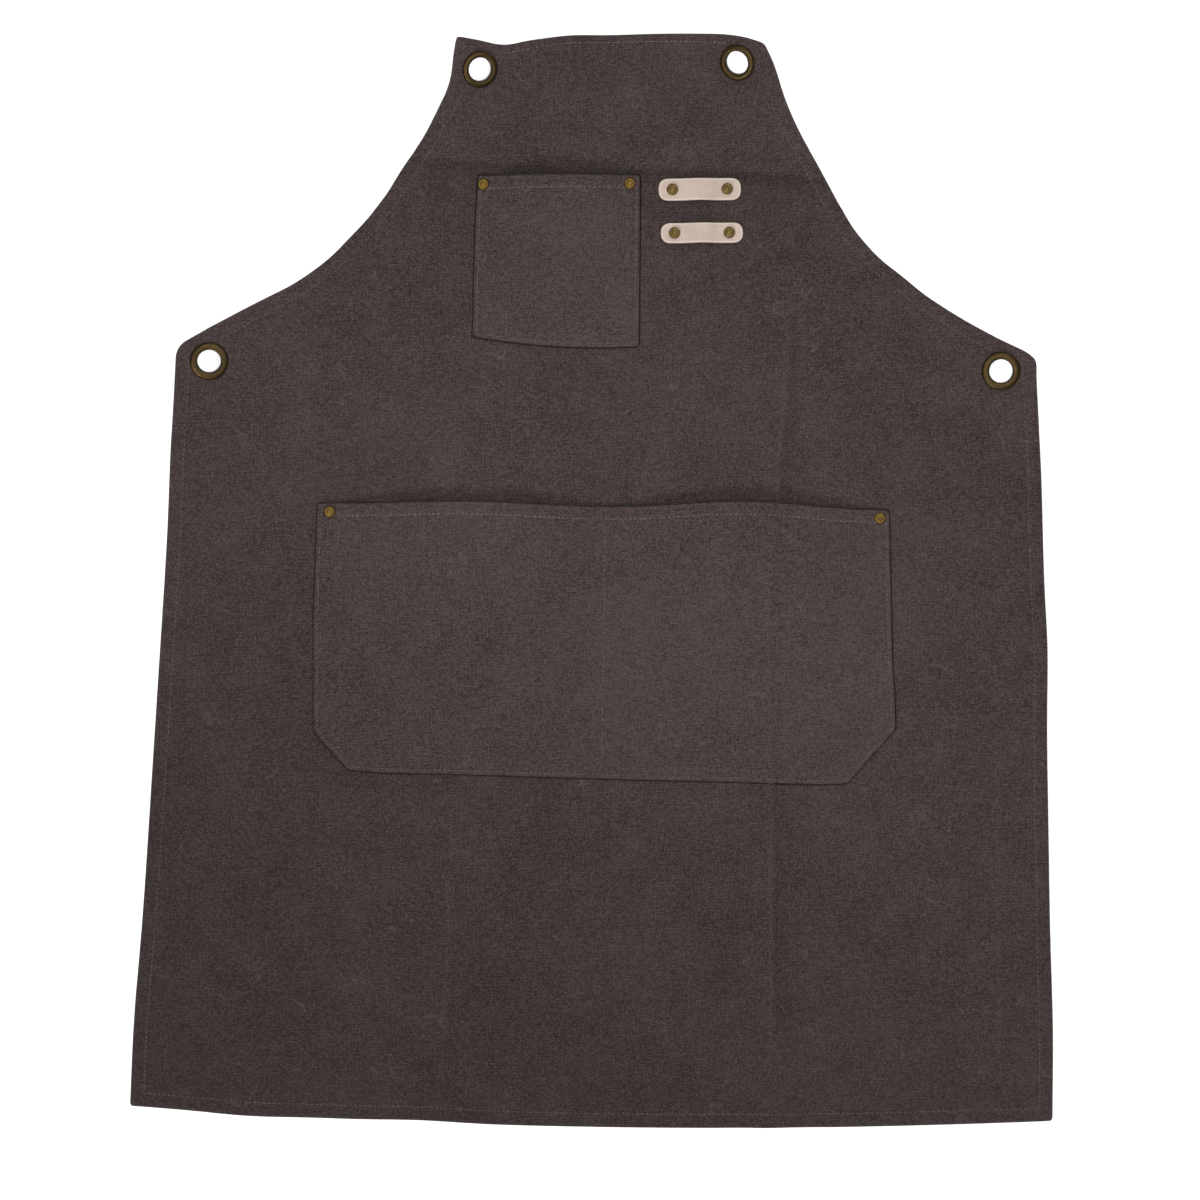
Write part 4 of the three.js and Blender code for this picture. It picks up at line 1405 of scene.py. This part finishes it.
class APRON_OT_set_stage(bpy.types.Operator):
    """Lays the pale floor, hangs the soft lights and places the camera over the apron"""

    bl_idname = "apron.set_stage"
    bl_label = "Set stage"

    def execute(self, context):
        scene, stage = context.scene, context.scene.apron_stage
        corners = [(x * FLOOR_REACH, y * FLOOR_REACH, 0) for x, y in ((-1, -1), (1, -1), (1, 1), (-1, 1))]
        floor = new_object("pale_floor", corners, [[0, 1, 2, 3]])
        finish = Finish("pale_floor")
        specks = finish.noise(30 * MM, detail=2.0)
        dimmer = dimmed(stage.floor_colour, 0.98)
        finish.shade(Base_Color=finish.blend(specks, dimmer, stage.floor_colour), Roughness=0.9,
                     Emission_Color=stage.floor_colour, Emission_Strength=FLOOR_GLOW)
        floor.data.materials.append(finish.material)
        floor.location.z = -FLOOR_DROP

        for light in SOFT_LIGHTS:
            self.hang(light)
        world = bpy.data.worlds.new("pale_room")
        world.use_nodes = True
        background = world.node_tree.nodes["Background"].inputs
        background["Color"].default_value = ROOM_COLOUR
        background["Strength"].default_value = ROOM_LIGHT
        scene.world = world
        scene.view_settings.view_transform = "Standard"

        camera = bpy.data.objects.new("camera", bpy.data.cameras.new("camera"))
        scene.collection.objects.link(camera)
        camera.location = (*VIEW_MIDDLE, stage.camera_height)
        camera.rotation_euler = (0, 0, stage.view_turn)
        camera.data.lens = camera.data.sensor_width * stage.camera_height / stage.view_width
        scene.camera = camera
        return {"FINISHED"}

    def hang(self, light):
        """Hangs a round soft light that faces the middle of the apron and that the camera doesn't see."""
        lamp = bpy.data.lights.new(light.name, "AREA")
        lamp.shape = "DISK"
        lamp.size = light.width
        lamp.energy = light.power
        hung = bpy.data.objects.new(light.name, lamp)
        hung.location = light.place
        hung.rotation_euler = (-Vector(light.place)).to_track_quat("-Z", "Y").to_euler()
        hung.visible_camera = False
        bpy.context.scene.collection.objects.link(hung)


class APRON_PT_workbench(bpy.types.Panel):
    """Lists the steps of dressing the apron"""

    bl_idname = "APRON_PT_workbench"
    bl_label = "Canvas apron"
    bl_space_type = "VIEW_3D"
    bl_region_type = "UI"
    bl_category = "Apron"

    def draw(self, context):
        for title, settings in SETTINGS.items():
            box = self.layout.box()
            group = getattr(context.scene, title)
            for name in settings.__annotations__:
                box.prop(group, name)
        for operator in OPERATORS:
            self.layout.operator(operator.bl_idname)


SETTINGS = {
    "apron_cloth": ApronCloth,
    "apron_thread": ApronThread,
    "apron_hardware": ApronHardware,
    "apron_stage": ApronStage,
}
OPERATORS = (
    APRON_OT_lay_cloth,
    APRON_OT_sew_pockets,
    APRON_OT_sew_stitches,
    APRON_OT_rivet_loops,
    APRON_OT_set_eyelets,
    APRON_OT_set_rivets,
    APRON_OT_set_stage,
)


def register():
    for made in (*SETTINGS.values(), *OPERATORS, APRON_PT_workbench):
        bpy.utils.register_class(made)
    for title, settings in SETTINGS.items():
        setattr(bpy.types.Scene, title, PointerProperty(type=settings))


def unregister():
    for title in SETTINGS:
        delattr(bpy.types.Scene, title)
    for made in (APRON_PT_workbench, *reversed(OPERATORS), *SETTINGS.values()):
        bpy.utils.unregister_class(made)


def main():
    register()
    bpy.ops.apron.lay_cloth()
    bpy.ops.apron.sew_pockets()
    bpy.ops.apron.sew_stitches()
    bpy.ops.apron.rivet_loops()
    bpy.ops.apron.set_eyelets()
    bpy.ops.apron.set_rivets()
    bpy.ops.apron.set_stage()


if __name__ == "__main__":
    main()
